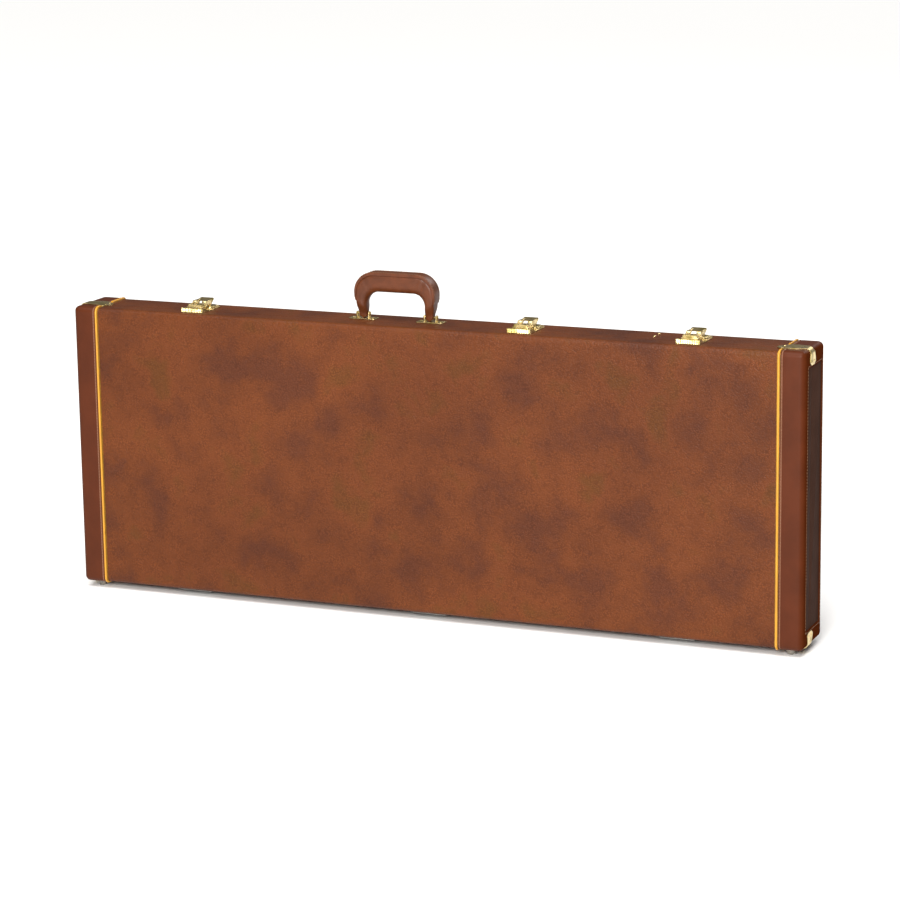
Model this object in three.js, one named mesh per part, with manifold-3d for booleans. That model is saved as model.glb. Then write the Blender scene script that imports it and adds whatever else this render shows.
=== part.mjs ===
// Hard-shell guitar case: two plywood trays covered in vinyl, hinged along the spine and closed by three
// draw latches, with a plush-lined well, an accessory compartment and a folding leather handle.
// Millimetres. +X runs along the case, the lid faces -Y and +Z is up. The case stands on its spine:
// the origin is on the floor under the middle of it.
import * as THREE from "three";
import { mergeVertices } from "three/addons/utils/BufferGeometryUtils.js";
import Module from "manifold-3d";

const wasm = await Module();
wasm.setup();

// ---- Driving dimensions ----
const caseLength = 1250;
const caseHeight = 468;
const caseDepth = 104;
const lidDepth = 36;
const footHeight = 10;
const wall = 5; // plywood
const capSkin = 2.7; // padded vinyl over the ends
const coverSkin = 1.2; // vinyl over the middle
const cornerRadius = 12; // outline corners, seen from the front
const edgeRadius = 9.5; // long edges, seen from the end
const smallestRadius = 1; // of any inner layer
const cornerOverEdge = 0.5; // an outline corner stays this much rounder than the long edges
const capBand = 42; // width of the end caps on the faces
const pipingDiameter = 4.5;
const gap = 0.3; // between pieces that touch
const seamGap = 0.6; // between the rims of lid and body
const runningGap = 0.4; // beside moving pieces
const looseFit = 0.5; // between the plywood and what is pushed into it

const liningThickness = 8;
const liningWall = 6;
const tongueThickness = 2.5;
const tongueReach = 5; // into each half
const tongueAboveSpine = 28; // it starts above the hinges
const foamBelowRim = 5.5;

const latchXs = { left: -412, middle: 158, right: 435 };
const latchWidth = 41;
const latchSheet = 1.5;
const latchPivotFromSeam = 4;
const latchPivotRise = 6.5;
const clawPivotStep = { y: 7, z: 1 }; // from the lever's pivot back to the claw's
const latchEye = 3; // metal round each pin
const latchPinRadius = 1.5;
const latchPinHead = { length: 1, rim: 0.9 };
const clawPinRadius = 1.3;
const leverWidth = 24;
const leverSheet = 1.8;
const leverLength = 28;
const clawWidth = 27;
const clawReach = 20; // ahead of the lever's pivot
const clawBlockClear = 10.5; // from the claw's pivot to the back of its block
const clawOverKeeper = 0.5;
const clawSteps = { lower: 4.2, upper: 8, back: 1.6 };
const keeperWidth = 39;
const keeperRise = 7.3;
const keeperReach = 20; // from the seam to its front wall
const keeperFlange = 3;
const keeperTop = 5; // depth of its raised lip
const baseLength = 43;
const railRise = { front: 1, middle: 3.6, back: 0.6 };

const handleX = -67;
const handleFromSeam = 21;
const handleSpacing = 117; // between the two brackets
const handleLeg = 17.6;
const handleStrip = 3; // flat outer strip
const handleDepth = 25;
const handleHeight = 76; // above the case
const fingerHeight = 45;
const gripOuterRadius = 34;
const gripInnerRadius = 20;
const handleEye = 5.5;
const handleEyeFoot = 1; // the ear widens this much into the plate
const handlePinRadius = 1.6;
const handlePinHead = { length: 1.2, rim: 1.2 };
const handlePivotRise = 7; // above the bracket's plate
const bracketLength = 45;
const bracketWidth = 20;
const bracketSheet = 1.5;
const bracketEar = 1.6;
const stripAbovePivot = 17; // where the outer strip's cut end starts
const stripCut = 6;
const gripAbovePivot = 21; // where the tapered leg reaches the grip's full depth

const guardSheet = 1.6;
const guardWidth = 15;
const guardTopLeg = 50; // over the piping's path, which stops on each side of the guards
const guardEndLeg = 26;
const guardBottomLeg = 15;

const footFromEnd = 24;
const footRadius = 6.5;
const lidFootFromSeam = 15;
const bodyFootFromBack = 20;

const hingeFromEnd = 205;
const hingeWidth = 60;
const hingeLeaf = 28;
const hingeSheet = 1.2;
const knuckleRadius = 3;
const hingePinRadius = 1.4;

// ---- Levels worked out from them ----
const halfLength = caseLength / 2;
const underside = footHeight;
const topSide = footHeight + caseHeight;
const middleZ = (underside + topSide) / 2;
const front = -caseDepth / 2;
const back = caseDepth / 2;
const seam = front + lidDepth;
const lidRim = seam - seamGap / 2;
const bodyRim = seam + seamGap / 2;
const shellInset = capSkin + gap;
const coverInset = shellInset - gap - coverSkin;
const cavityInset = shellInset + wall;
const coverTop = topSide - coverInset;
const coverUnderside = underside + coverInset;
const cavityHalf = halfLength - cavityInset;
const cavityLow = underside + cavityInset;
const cavityHigh = topSide - cavityInset;
const pipingX = halfLength - capBand;
const pipingRadius = pipingDiameter / 2;

// ---- Geometry helpers ----
function solid(geometry) {
  const bare = geometry.clone();
  bare.deleteAttribute("normal");
  bare.deleteAttribute("uv");
  const merged = mergeVertices(bare, 1e-4);
  const mesh = new wasm.Mesh({
    numProp: 3,
    vertProperties: merged.attributes.position.array,
    triVerts: new Uint32Array(merged.index.array),
  });
  return new wasm.Manifold(mesh);
}

function geometryOf(manifold) {
  const mesh = manifold.getMesh();
  const geometry = new THREE.BufferGeometry();
  geometry.setAttribute("position", new THREE.BufferAttribute(mesh.vertProperties, 3));
  geometry.setIndex(new THREE.BufferAttribute(mesh.triVerts, 1));
  geometry.computeVertexNormals();
  return geometry;
}

function block(x0, x1, y0, y1, z0, z1) {
  const geometry = new THREE.BoxGeometry(x1 - x0, y1 - y0, z1 - z0);
  return solid(geometry.translate((x0 + x1) / 2, (y0 + y1) / 2, (z0 + z1) / 2));
}

// A (y, z) outline carried along X.
function alongX(outline, x0, x1) {
  const geometry = new THREE.ExtrudeGeometry(outline, {
    depth: x1 - x0,
    bevelEnabled: false,
    curveSegments: 6,
  });
  const turn = new THREE.Matrix4().makeBasis(
    new THREE.Vector3(0, 1, 0),
    new THREE.Vector3(0, 0, 1),
    new THREE.Vector3(1, 0, 0),
  );
  return solid(geometry.applyMatrix4(turn).translate(x0, 0, 0));
}

// An (x, z) outline carried along Y from y0 to y1, with its edges rounded if a radius is given.
function alongY(outline, y0, y1, radius = 0) {
  const geometry = new THREE.ExtrudeGeometry(outline, {
    depth: y1 - y0 - 2 * radius,
    bevelEnabled: radius > 0,
    bevelThickness: radius,
    bevelSize: radius,
    bevelOffset: -radius,
    bevelSegments: 3,
    curveSegments: 4,
  });
  const turn = new THREE.Matrix4().makeBasis(
    new THREE.Vector3(1, 0, 0),
    new THREE.Vector3(0, 0, 1),
    new THREE.Vector3(0, -1, 0),
  );
  return solid(geometry.applyMatrix4(turn).translate(0, y1 - radius, 0));
}

function rodAlongX(x0, x1, y, z, radius, sides = 12) {
  const geometry = new THREE.CylinderGeometry(radius, radius, x1 - x0, sides);
  return solid(geometry.rotateZ(-Math.PI / 2).translate((x0 + x1) / 2, y, z));
}

// A pin along X with a flat head at each end, past half its grip from the middle.
function headedPin(x, halfGrip, y, z, radius, head) {
  const end = halfGrip + head.length;
  return rodAlongX(x - end, x + end, y, z, radius)
    .add(rodAlongX(x - end, x - halfGrip, y, z, radius + head.rim))
    .add(rodAlongX(x + halfGrip, x + end, y, z, radius + head.rim));
}

function outlineOf(points) {
  return new THREE.Shape(points.map(([u, v]) => new THREE.Vector2(u, v)));
}

function roundedOutline(x0, x1, z0, z1, radius) {
  const outline = new THREE.Shape();
  outline.moveTo(x0 + radius, z0);
  outline.lineTo(x1 - radius, z0);
  outline.absarc(x1 - radius, z0 + radius, radius, -Math.PI / 2, 0, false);
  outline.absarc(x1 - radius, z1 - radius, radius, 0, Math.PI / 2, false);
  outline.absarc(x0 + radius, z1 - radius, radius, Math.PI / 2, Math.PI, false);
  outline.absarc(x0 + radius, z0 + radius, radius, Math.PI, 1.5 * Math.PI, false);
  return outline;
}

// The whole case as one rounded slab, drawn in from its outer surface by an inset.
function caseSlab(inset) {
  const corner = Math.max(cornerRadius - inset, smallestRadius + cornerOverEdge);
  const edge = Math.max(Math.min(edgeRadius - inset, corner - cornerOverEdge), smallestRadius);
  const outline = roundedOutline(
    inset - halfLength,
    halfLength - inset,
    underside + inset,
    topSide - inset,
    corner,
  );
  return alongY(outline, front + inset, back - inset, edge);
}

function inLid(manifold) {
  return manifold.intersect(block(-caseLength, caseLength, 2 * front, lidRim, -caseHeight, 2 * caseHeight));
}

function inBody(manifold) {
  return manifold.intersect(block(-caseLength, caseLength, bodyRim, 2 * back, -caseHeight, 2 * caseHeight));
}

function betweenX(manifold, x0, x1) {
  return manifold.intersect(block(x0, x1, 2 * front, 2 * back, -caseHeight, 2 * caseHeight));
}

// A path through way-points whose steps fall on the points themselves.
class WayPath extends THREE.Curve {
  constructor(points) {
    super();
    this.points = points;
  }

  getPoint(t, target = new THREE.Vector3()) {
    const place = Math.min(Math.max(t, 0), 1) * (this.points.length - 1);
    const index = Math.min(Math.floor(place), this.points.length - 2);
    return target.lerpVectors(this.points[index], this.points[index + 1], place - index);
  }

  getUtoTmapping(u) {
    return u;
  }
}

// ---- The assembly ----
const group = new THREE.Group();

const colours = {
  vinyl: { color: 0x83532f, roughness: 0.5, metalness: 0 },
  capVinyl: { color: 0x79412a, roughness: 0.45, metalness: 0 },
  piping: { color: 0xf0b042, roughness: 0.4, metalness: 0 },
  plywood: { color: 0xb8925f, roughness: 0.7, metalness: 0 },
  plush: { color: 0x9c4a55, roughness: 0.95, metalness: 0 },
  brass: { color: 0xd8b860, roughness: 0.3, metalness: 1 },
  nickel: { color: 0xb0aca4, roughness: 0.3, metalness: 1 },
  steel: { color: 0x9a9a98, roughness: 0.35, metalness: 1 },
  leather: { color: 0x7a4526, roughness: 0.4, metalness: 0 },
};

function place(name, manifold, colour) {
  const mesh = new THREE.Mesh(geometryOf(manifold), new THREE.MeshStandardMaterial(colours[colour]));
  mesh.name = name;
  group.add(mesh);
}

const sides = [
  { side: "left", sign: -1 },
  { side: "right", sign: 1 },
];

// ---- Shells and coverings ----
function buildShells() {
  const shell = caseSlab(shellInset).subtract(caseSlab(cavityInset));
  place("body_shell", inBody(shell), "plywood");
  place("lid_shell", inLid(shell), "plywood");
  const cover = caseSlab(coverInset).subtract(caseSlab(capSkin));
  const coverHalf = pipingX - pipingRadius - gap;
  const middle = betweenX(cover, -coverHalf, coverHalf);
  place("body_cover", inBody(middle), "vinyl");
  place("lid_cover", inLid(middle), "vinyl");
  const capLayer = caseSlab(0).subtract(caseSlab(capSkin));
  const capStart = pipingX + pipingRadius + gap;
  for (const { side, sign } of sides) {
    const ends = [sign * capStart, sign * caseLength].sort((a, b) => a - b);
    const cap = betweenX(capLayer, ends[0], ends[1]);
    place(`body_end_cap_${side}`, inBody(cap), "capVinyl");
    place(`lid_end_cap_${side}`, inLid(cap), "capVinyl");
  }
}

// ---- Piping: a round cord laid over the joint between cover and cap, round each half.
// Over the top it stops beside the seam's guards, and underneath it runs on to the seam. ----
function pipingPath(x, rim, face) {
  const toward = Math.sign(face);
  const inset = shellInset - gap - pipingRadius;
  const radius = edgeRadius - inset;
  const centreY = face - toward * edgeRadius;
  const cornerSteps = 5;
  const besideGuard = rim + toward * (guardWidth + gap);
  const points = [new THREE.Vector3(x, besideGuard, topSide - inset)];
  const corners = [topSide - edgeRadius, underside + edgeRadius];
  corners.forEach((centreZ, turn) => {
    for (let step = 0; step <= cornerSteps; step += 1) {
      const angle = (Math.PI / 2) * (1 - turn - step / cornerSteps);
      const y = centreY + toward * radius * Math.cos(angle);
      points.push(new THREE.Vector3(x, y, centreZ + radius * Math.sin(angle)));
    }
  });
  points.push(new THREE.Vector3(x, rim, underside + inset));
  return points;
}

function buildPiping() {
  const section = new THREE.Shape().absarc(0, 0, pipingRadius, 0, 2 * Math.PI, false);
  for (const { side, sign } of sides) {
    for (const [half, rim, face] of [["body", bodyRim, back], ["lid", lidRim, front]]) {
      const points = pipingPath(sign * pipingX, rim, face);
      const path = new WayPath(points);
      const cord = new THREE.ExtrudeGeometry(section, {
        steps: points.length - 1,
        extrudePath: path,
        curveSegments: 5,
      });
      place(`${half}_piping_${side}`, solid(cord), "piping");
    }
  }
}

// ---- Seam: a tongue on three sides of the body's rim, and corner guards over the seam ----
function buildSeamTongue() {
  const outer = cavityInset + looseFit;
  const ring = caseSlab(outer).subtract(caseSlab(outer + tongueThickness));
  const band = block(
    -caseLength,
    caseLength,
    seam - tongueReach,
    seam + tongueReach,
    cavityLow + tongueAboveSpine,
    2 * caseHeight,
  );
  place("seam_tongue", ring.intersect(band), "plywood");
}

function guardOutline(sideSign, endSign) {
  const inner = gap;
  const outer = gap + guardSheet;
  const reach = endSign > 0 ? guardTopLeg : guardBottomLeg;
  const arcSteps = 5;
  const arc = (offset) => {
    const points = [];
    for (let step = 0; step <= arcSteps; step += 1) {
      const angle = (Math.PI / 2) * (1 - step / arcSteps);
      const radius = cornerRadius + offset;
      points.push([
        halfLength - cornerRadius + radius * Math.cos(angle),
        caseHeight / 2 - cornerRadius + radius * Math.sin(angle),
      ]);
    }
    return points;
  };
  const points = [
    [halfLength - reach, caseHeight / 2 + outer],
    ...arc(outer),
    [halfLength + outer, caseHeight / 2 - guardEndLeg],
    [halfLength + inner, caseHeight / 2 - guardEndLeg],
    ...arc(inner).reverse(),
    [halfLength - reach, caseHeight / 2 + inner],
  ];
  return outlineOf(points.map(([x, z]) => [sideSign * x, middleZ + endSign * z]));
}

function buildGuards() {
  for (const { side, sign } of sides) {
    for (const [end, endSign] of [["top", 1], ["bottom", -1]]) {
      const outline = guardOutline(sign, endSign);
      place(`body_seam_guard_${end}_${side}`, alongY(outline, bodyRim, bodyRim + guardWidth), "brass");
      place(`lid_seam_guard_${end}_${side}`, alongY(outline, lidRim - guardWidth, lidRim), "brass");
    }
  }
}

// ---- Feet: domes with a small flat, two on each half ----
function buildFeet() {
  const profile = [
    [0, 0],
    [0.46, 0],
    [0.8, 0.12],
    [0.95, 0.35],
    [1, 0.65],
    [1, 1],
    [0, 1],
  ].map(([r, z]) => new THREE.Vector2(r * footRadius, z * (footHeight - gap)));
  for (const { side, sign } of sides) {
    for (const [half, y] of [["body", back - bodyFootFromBack], ["lid", seam - lidFootFromSeam]]) {
      const dome = new THREE.LatheGeometry(profile, 16);
      dome.rotateX(Math.PI / 2).translate(sign * (halfLength - footFromEnd), y, 0);
      place(`${half}_foot_${side}`, solid(dome), "nickel");
    }
  }
}

// ---- Hinges: three along the spine, with the pin fixed in the body's leaf ----
function buildHinges() {
  const leafTop = coverUnderside - gap;
  const leafLow = leafTop - hingeSheet;
  const pivotZ = leafTop - knuckleRadius - gap;
  const third = hingeWidth / 3;
  const spots = { left: hingeFromEnd - halfLength, middle: 0, right: halfLength - hingeFromEnd };
  for (const [spot, x] of Object.entries(spots)) {
    const x0 = x - hingeWidth / 2;
    const x1 = x + hingeWidth / 2;
    const m0 = x - third / 2;
    const m1 = x + third / 2;
    const clear = knuckleRadius + runningGap;
    const bodyLeaf = block(x0, x1, seam, seam + hingeLeaf, leafLow, leafTop)
      .subtract(block(m0 - gap, m1 + gap, seam - 1, seam + clear, leafLow - 1, leafTop + 1))
      .add(rodAlongX(x0, m0 - gap, seam, pivotZ, knuckleRadius))
      .add(rodAlongX(m1 + gap, x1, seam, pivotZ, knuckleRadius))
      .add(rodAlongX(x0 + 1, x1 - 1, seam, pivotZ, hingePinRadius));
    const lidLeaf = block(x0, x1, seam - hingeLeaf, seam - clear, leafLow, leafTop)
      .add(block(m0, m1, seam - hingeLeaf, seam, leafLow, leafTop))
      .add(rodAlongX(m0, m1, seam, pivotZ, knuckleRadius))
      .subtract(rodAlongX(m0 - 1, m1 + 1, seam, pivotZ, hingePinRadius + gap));
    place(`hinge_body_leaf_${spot}`, bodyLeaf, "steel");
    place(`hinge_lid_leaf_${spot}`, lidLeaf, "steel");
  }
}

// ---- Latches: keeper on the lid; base, pin, lever and claw on the body ----
function buildLatches() {
  const pivotY = seam + latchPivotFromSeam;
  const pivotZ = coverTop + latchPivotRise;
  const clawY = pivotY + clawPivotStep.y;
  const clawZ = pivotZ + clawPivotStep.z;
  const cheekOuter = leverWidth / 2;
  const cheekInner = cheekOuter - leverSheet;
  const tailHalf = cheekInner - runningGap;
  const earInner = cheekOuter + runningGap;
  const earOuter = earInner + latchSheet;
  const plateLow = coverTop + gap;
  const plateTop = plateLow + latchSheet;
  const clawLow = coverTop + keeperRise + clawOverKeeper;
  const blockBack = clawY - clawBlockClear;
  const clawFront = pivotY - clawReach;
  const bore = latchPinRadius + gap;
  for (const [spot, x] of Object.entries(latchXs)) {
    const keeperFront = seam - keeperReach;
    const keeper = alongX(
      outlineOf([
        [keeperFront - keeperFlange, plateLow],
        [keeperFront - keeperFlange, plateTop],
        [keeperFront, plateTop],
        [keeperFront + 0.4, coverTop + keeperRise],
        [keeperFront + keeperTop, coverTop + keeperRise],
        [lidRim - keeperTop, plateTop + 1],
        [lidRim - runningGap, plateTop + 1],
        [lidRim - runningGap, plateLow],
      ]),
      x - keeperWidth / 2,
      x + keeperWidth / 2,
    );
    place(`latch_keeper_${spot}`, keeper, "brass");

    const baseFront = bodyRim + runningGap;
    const rail = alongX(
      outlineOf([
        [baseFront + 8, plateLow],
        [baseFront + 8, plateTop + railRise.front],
        [baseFront + 12, plateTop + railRise.middle],
        [baseFront + baseLength - 9, plateTop + railRise.middle],
        [baseFront + baseLength - 1, plateTop + railRise.back],
        [baseFront + baseLength - 1, plateLow],
      ]),
      0,
      latchSheet,
    );
    const ear = new THREE.Shape();
    ear.moveTo(pivotY - latchEye, plateLow);
    ear.lineTo(pivotY + latchEye, plateLow);
    ear.absarc(pivotY, pivotZ, latchEye, 0, Math.PI, false);
    const base = block(
      x - latchWidth / 2,
      x + latchWidth / 2,
      baseFront,
      baseFront + baseLength,
      plateLow,
      plateTop,
    )
      .add(rail.translate([x - latchWidth / 2, 0, 0]))
      .add(rail.translate([x + latchWidth / 2 - latchSheet, 0, 0]))
      .add(alongX(ear, x - earOuter, x - earInner))
      .add(alongX(ear, x + earInner, x + earOuter))
      .subtract(rodAlongX(x - latchWidth, x + latchWidth, pivotY, pivotZ, bore));
    place(`latch_base_${spot}`, base, "brass");
    const pin = headedPin(x, earOuter + gap, pivotY, pivotZ, latchPinRadius, latchPinHead);
    place(`latch_pin_${spot}`, pin, "brass");

    const cheek = new THREE.Shape();
    cheek.absarc(pivotY, pivotZ, latchEye, Math.PI / 2, 1.5 * Math.PI, false);
    cheek.lineTo(pivotY + 15, pivotZ - 2);
    cheek.lineTo(pivotY + 17, pivotZ + 5.5);
    cheek.lineTo(clawY + 4, pivotZ + 5.5);
    cheek.lineTo(clawY + 2.5, clawZ + latchEye - 0.2);
    const plate = outlineOf([
      [clawY + 4, pivotZ + 5],
      [clawY + 4, pivotZ + 9],
      [pivotY + leverLength - 5, pivotZ + 9.2],
      [pivotY + leverLength - 1, pivotZ + 12],
      [pivotY + leverLength, pivotZ + 11.2],
      [pivotY + leverLength - 3, pivotZ + 6],
      [pivotY + leverLength - 8, pivotZ + 5],
    ]);
    const lever = alongX(plate, x - cheekOuter, x + cheekOuter)
      .add(alongX(cheek, x - cheekOuter, x - cheekInner))
      .add(alongX(cheek, x + cheekInner, x + cheekOuter))
      .subtract(rodAlongX(x - latchWidth, x + latchWidth, pivotY, pivotZ, bore))
      .add(rodAlongX(x - cheekInner - 1, x + cheekInner + 1, clawY, clawZ, clawPinRadius));
    place(`latch_lever_${spot}`, lever, "brass");

    const overPin = pivotZ + latchPinRadius + clawOverKeeper;
    const tail = new THREE.Shape();
    tail.moveTo(blockBack - 1, overPin);
    tail.lineTo(pivotY + 3, overPin);
    tail.lineTo(clawY - 2, clawZ - 2);
    tail.absarc(clawY, clawZ, latchEye, 1.25 * Math.PI, 2.5 * Math.PI, false);
    tail.lineTo(blockBack - 1, clawZ + latchEye);
    const step = (width, front, low, high) =>
      block(x - width / 2, x + width / 2, front, blockBack, clawLow + low, clawLow + high);
    const claw = step(clawWidth, clawFront, 0, clawSteps.lower)
      .add(step(leverWidth, clawFront + clawSteps.back, clawSteps.lower - 1, clawSteps.upper))
      .add(alongX(tail, x - tailHalf, x + tailHalf))
      .subtract(rodAlongX(x - latchWidth, x + latchWidth, clawY, clawZ, clawPinRadius + gap));
    place(`latch_claw_${spot}`, claw, "brass");
  }
}

// ---- Handle: an arched grip that folds about the pins of two brackets ----
function buildHandle() {
  const y = seam + handleFromSeam;
  const plateLow = coverTop + gap;
  const plateTop = plateLow + bracketSheet;
  const pivotZ = plateTop + handlePivotRise;
  const earFoot = handleEye + handleEyeFoot;
  const earInner = handleLeg / 2 + runningGap;
  const earOuter = earInner + bracketEar;
  const bore = handlePinRadius + gap;
  for (const { side, sign } of sides) {
    const x = handleX + (sign * handleSpacing) / 2;
    const ear = new THREE.Shape();
    ear.moveTo(y - earFoot, plateLow);
    ear.lineTo(y + earFoot, plateLow);
    ear.absarc(y, pivotZ, handleEye, 0, Math.PI, false);
    const bracket = block(
      x - bracketLength / 2,
      x + bracketLength / 2,
      y - bracketWidth / 2,
      y + bracketWidth / 2,
      plateLow,
      plateTop,
    )
      .add(alongX(ear, x - earOuter, x - earInner))
      .add(alongX(ear, x + earInner, x + earOuter))
      .subtract(rodAlongX(x - bracketLength, x + bracketLength, y, pivotZ, bore));
    place(`handle_bracket_${side}`, bracket, "brass");
    const pin = headedPin(x, earOuter + gap, y, pivotZ, handlePinRadius, handlePinHead);
    place(`handle_pin_${side}`, pin, "brass");
  }

  const legInner = handleSpacing / 2 - handleLeg / 2;
  const legOuter = handleSpacing / 2 + handleLeg / 2;
  const outer = legOuter + handleStrip;
  const crown = topSide + handleHeight;
  const fingers = topSide + fingerHeight;
  const legEnd = pivotZ - earFoot;
  const stripEnd = pivotZ + stripAbovePivot;
  const arch = new THREE.Shape();
  const crownArc = (x, start) => {
    arch.absarc(x, crown - gripOuterRadius, gripOuterRadius, start, start + Math.PI / 2, false);
  };
  const fingerArc = (x, start) => {
    arch.absarc(x, fingers - gripInnerRadius, gripInnerRadius, start, start - Math.PI / 2, true);
  };
  arch.moveTo(handleX - legOuter, legEnd);
  arch.lineTo(handleX - legInner, legEnd);
  fingerArc(handleX - legInner + gripInnerRadius, Math.PI);
  fingerArc(handleX + legInner - gripInnerRadius, Math.PI / 2);
  arch.lineTo(handleX + legInner, legEnd);
  arch.lineTo(handleX + legOuter, legEnd);
  arch.lineTo(handleX + legOuter, stripEnd - stripCut);
  arch.lineTo(handleX + outer, stripEnd);
  crownArc(handleX + outer - gripOuterRadius, 0);
  crownArc(handleX - outer + gripOuterRadius, Math.PI / 2);
  arch.lineTo(handleX - outer, stripEnd);
  arch.lineTo(handleX - legOuter, stripEnd - stripCut);
  const half = handleDepth / 2;
  const taper = new THREE.Shape();
  taper.moveTo(y + half + 1, crown + 1);
  taper.lineTo(y - half - 1, crown + 1);
  taper.lineTo(y - half - 1, pivotZ + gripAbovePivot);
  taper.lineTo(y - earFoot, pivotZ);
  taper.absarc(y, pivotZ, earFoot, Math.PI, 2 * Math.PI, false);
  taper.lineTo(y + half + 1, pivotZ + gripAbovePivot);
  const grip = alongY(arch, y - half, y + half)
    .intersect(alongX(taper, handleX - outer - 1, handleX + outer + 1))
    .subtract(rodAlongX(handleX - outer - 1, handleX + outer + 1, y, pivotZ, bore));
  place("handle_grip", grip, "leather");
}

// ---- Inside: linings, the foam round the guitar's well, and the accessory compartment ----
const liningFace = back - cavityInset - gap - liningThickness;
const foamFront = bodyRim + foamBelowRim;
const foamBack = liningFace - gap;
const channelHalf = 44;
const headHalf = 62;
const headFromEnd = 75;
const headLength = 190;
const boutOutline = [
  [0, 0],
  [10, 80],
  [52, 148],
  [130, 172],
  [215, 158],
  [290, 134],
  [350, 140],
  [402, 128],
  [430, 70],
  [446, channelHalf],
];
const wellFromEnd = 38;
const headTaper = 14; // along X, where the channel widens into the head well
const headChamfer = { x: 20, z: 24 };
const compartmentLength = 248;
const compartmentFromEnd = 258;
const compartmentWall = 4;
const compartmentLid = 4;
const lidUnderTongue = 1;
const lidStep = 1.5; // the lid's lining stops this far short of the tongue
const restFromCompartment = 60;
const restLength = 40;
const restRise = 22;
const restNotch = 30; // half the width that the neck lies in

// The guitar's well from the front: two bouts and a waist, a neck channel and a head well.
function wellOutline() {
  const start = wellFromEnd - halfLength;
  const bouts = new THREE.SplineCurve(
    boutOutline.map(([x, half]) => new THREE.Vector2(start + x, half)),
  ).getPoints(27);
  const headEnd = halfLength - headFromEnd;
  const headStart = headEnd - headLength;
  const upper = [
    ...bouts.map((point) => [point.x, point.y]),
    [headStart - headTaper, channelHalf],
    [headStart + headTaper, headHalf],
    [headEnd - headChamfer.x, headHalf],
    [headEnd, headHalf - headChamfer.z],
  ];
  const lower = upper.slice(1).reverse();
  const points = [...upper, ...lower.map(([x, half]) => [x, -half])];
  return outlineOf(points.map(([x, z]) => [x, middleZ + z]));
}

function buildInside() {
  const cavity = caseSlab(cavityInset + gap);
  const lining = cavity.intersect(
    block(-caseLength, caseLength, liningFace, back, underside, topSide),
  );
  place("back_lining", lining, "plush");

  const trayFloor = front + cavityInset + gap + liningThickness;
  const tray = cavity
    .intersect(block(-caseLength, caseLength, front, seam - tongueReach - lidStep, underside, topSide))
    .subtract(
      block(
        liningWall - cavityHalf,
        cavityHalf - liningWall,
        trayFloor,
        back,
        cavityLow + liningWall,
        cavityHigh - liningWall,
      ),
    );
  place("lid_lining", tray, "plush");

  const compartmentEnd = halfLength - compartmentFromEnd;
  const compartmentStart = compartmentEnd - compartmentLength;
  const well = alongY(wellOutline(), foamFront - 1, foamBack + 1);
  const pad = caseSlab(cavityInset + looseFit)
    .intersect(block(-caseLength, caseLength, foamFront, foamBack, underside, topSide))
    .subtract(well);
  const piece = (x0, x1, z0, z1) => pad.intersect(block(x0, x1, front, back, z0, z1));
  place("foam_hinge_side", piece(-caseLength, caseLength, underside, middleZ), "plush");
  const upper = middleZ + gap;
  place("foam_body_upper", piece(-caseLength, compartmentStart - gap, upper, topSide), "plush");
  place("foam_head_upper", piece(compartmentEnd + gap, caseLength, upper, topSide), "plush");

  const neckWallTop = middleZ + channelHalf + compartmentWall;
  const room = cavityHigh - looseFit;
  const walls = block(
    compartmentStart,
    compartmentEnd,
    foamFront + gap,
    foamBack,
    middleZ + channelHalf,
    room,
  ).subtract(
    block(
      compartmentStart + compartmentWall,
      compartmentEnd - compartmentWall,
      front,
      back,
      neckWallTop,
      topSide,
    ),
  );
  place("compartment_walls", walls, "plush");
  const lidLow = middleZ + channelHalf;
  const lidHigh = room - tongueThickness - lidUnderTongue;
  const cover = block(
    compartmentStart,
    compartmentEnd,
    foamFront - compartmentLid,
    foamFront,
    lidLow,
    lidHigh,
  );
  place("compartment_lid", cover, "plush");

  const restEnd = compartmentStart - restFromCompartment + restLength / 2;
  const restFace = foamBack - restRise;
  const restHalf = channelHalf - gap;
  const saddle = new THREE.Shape();
  saddle.moveTo(foamBack, middleZ - restHalf);
  saddle.lineTo(foamBack, middleZ + restHalf);
  saddle.lineTo(restFace, middleZ + restHalf);
  saddle.lineTo(restFace, middleZ + restNotch);
  saddle.quadraticCurveTo(foamBack, middleZ, restFace, middleZ - restNotch);
  saddle.lineTo(restFace, middleZ - restHalf);
  place("neck_rest", alongX(saddle, restEnd - restLength, restEnd), "plush");
}

buildShells();
buildPiping();
buildSeamTongue();
buildGuards();
buildFeet();
buildHinges();
buildLatches();
buildHandle();
buildInside();

export default group;
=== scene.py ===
"""A hard-shell guitar case, dressed over its packed frame: leathercloth covers and end caps, golden
piping, stitched edges, brass guards and latches, a leather handle and a plush lining round the well."""

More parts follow.
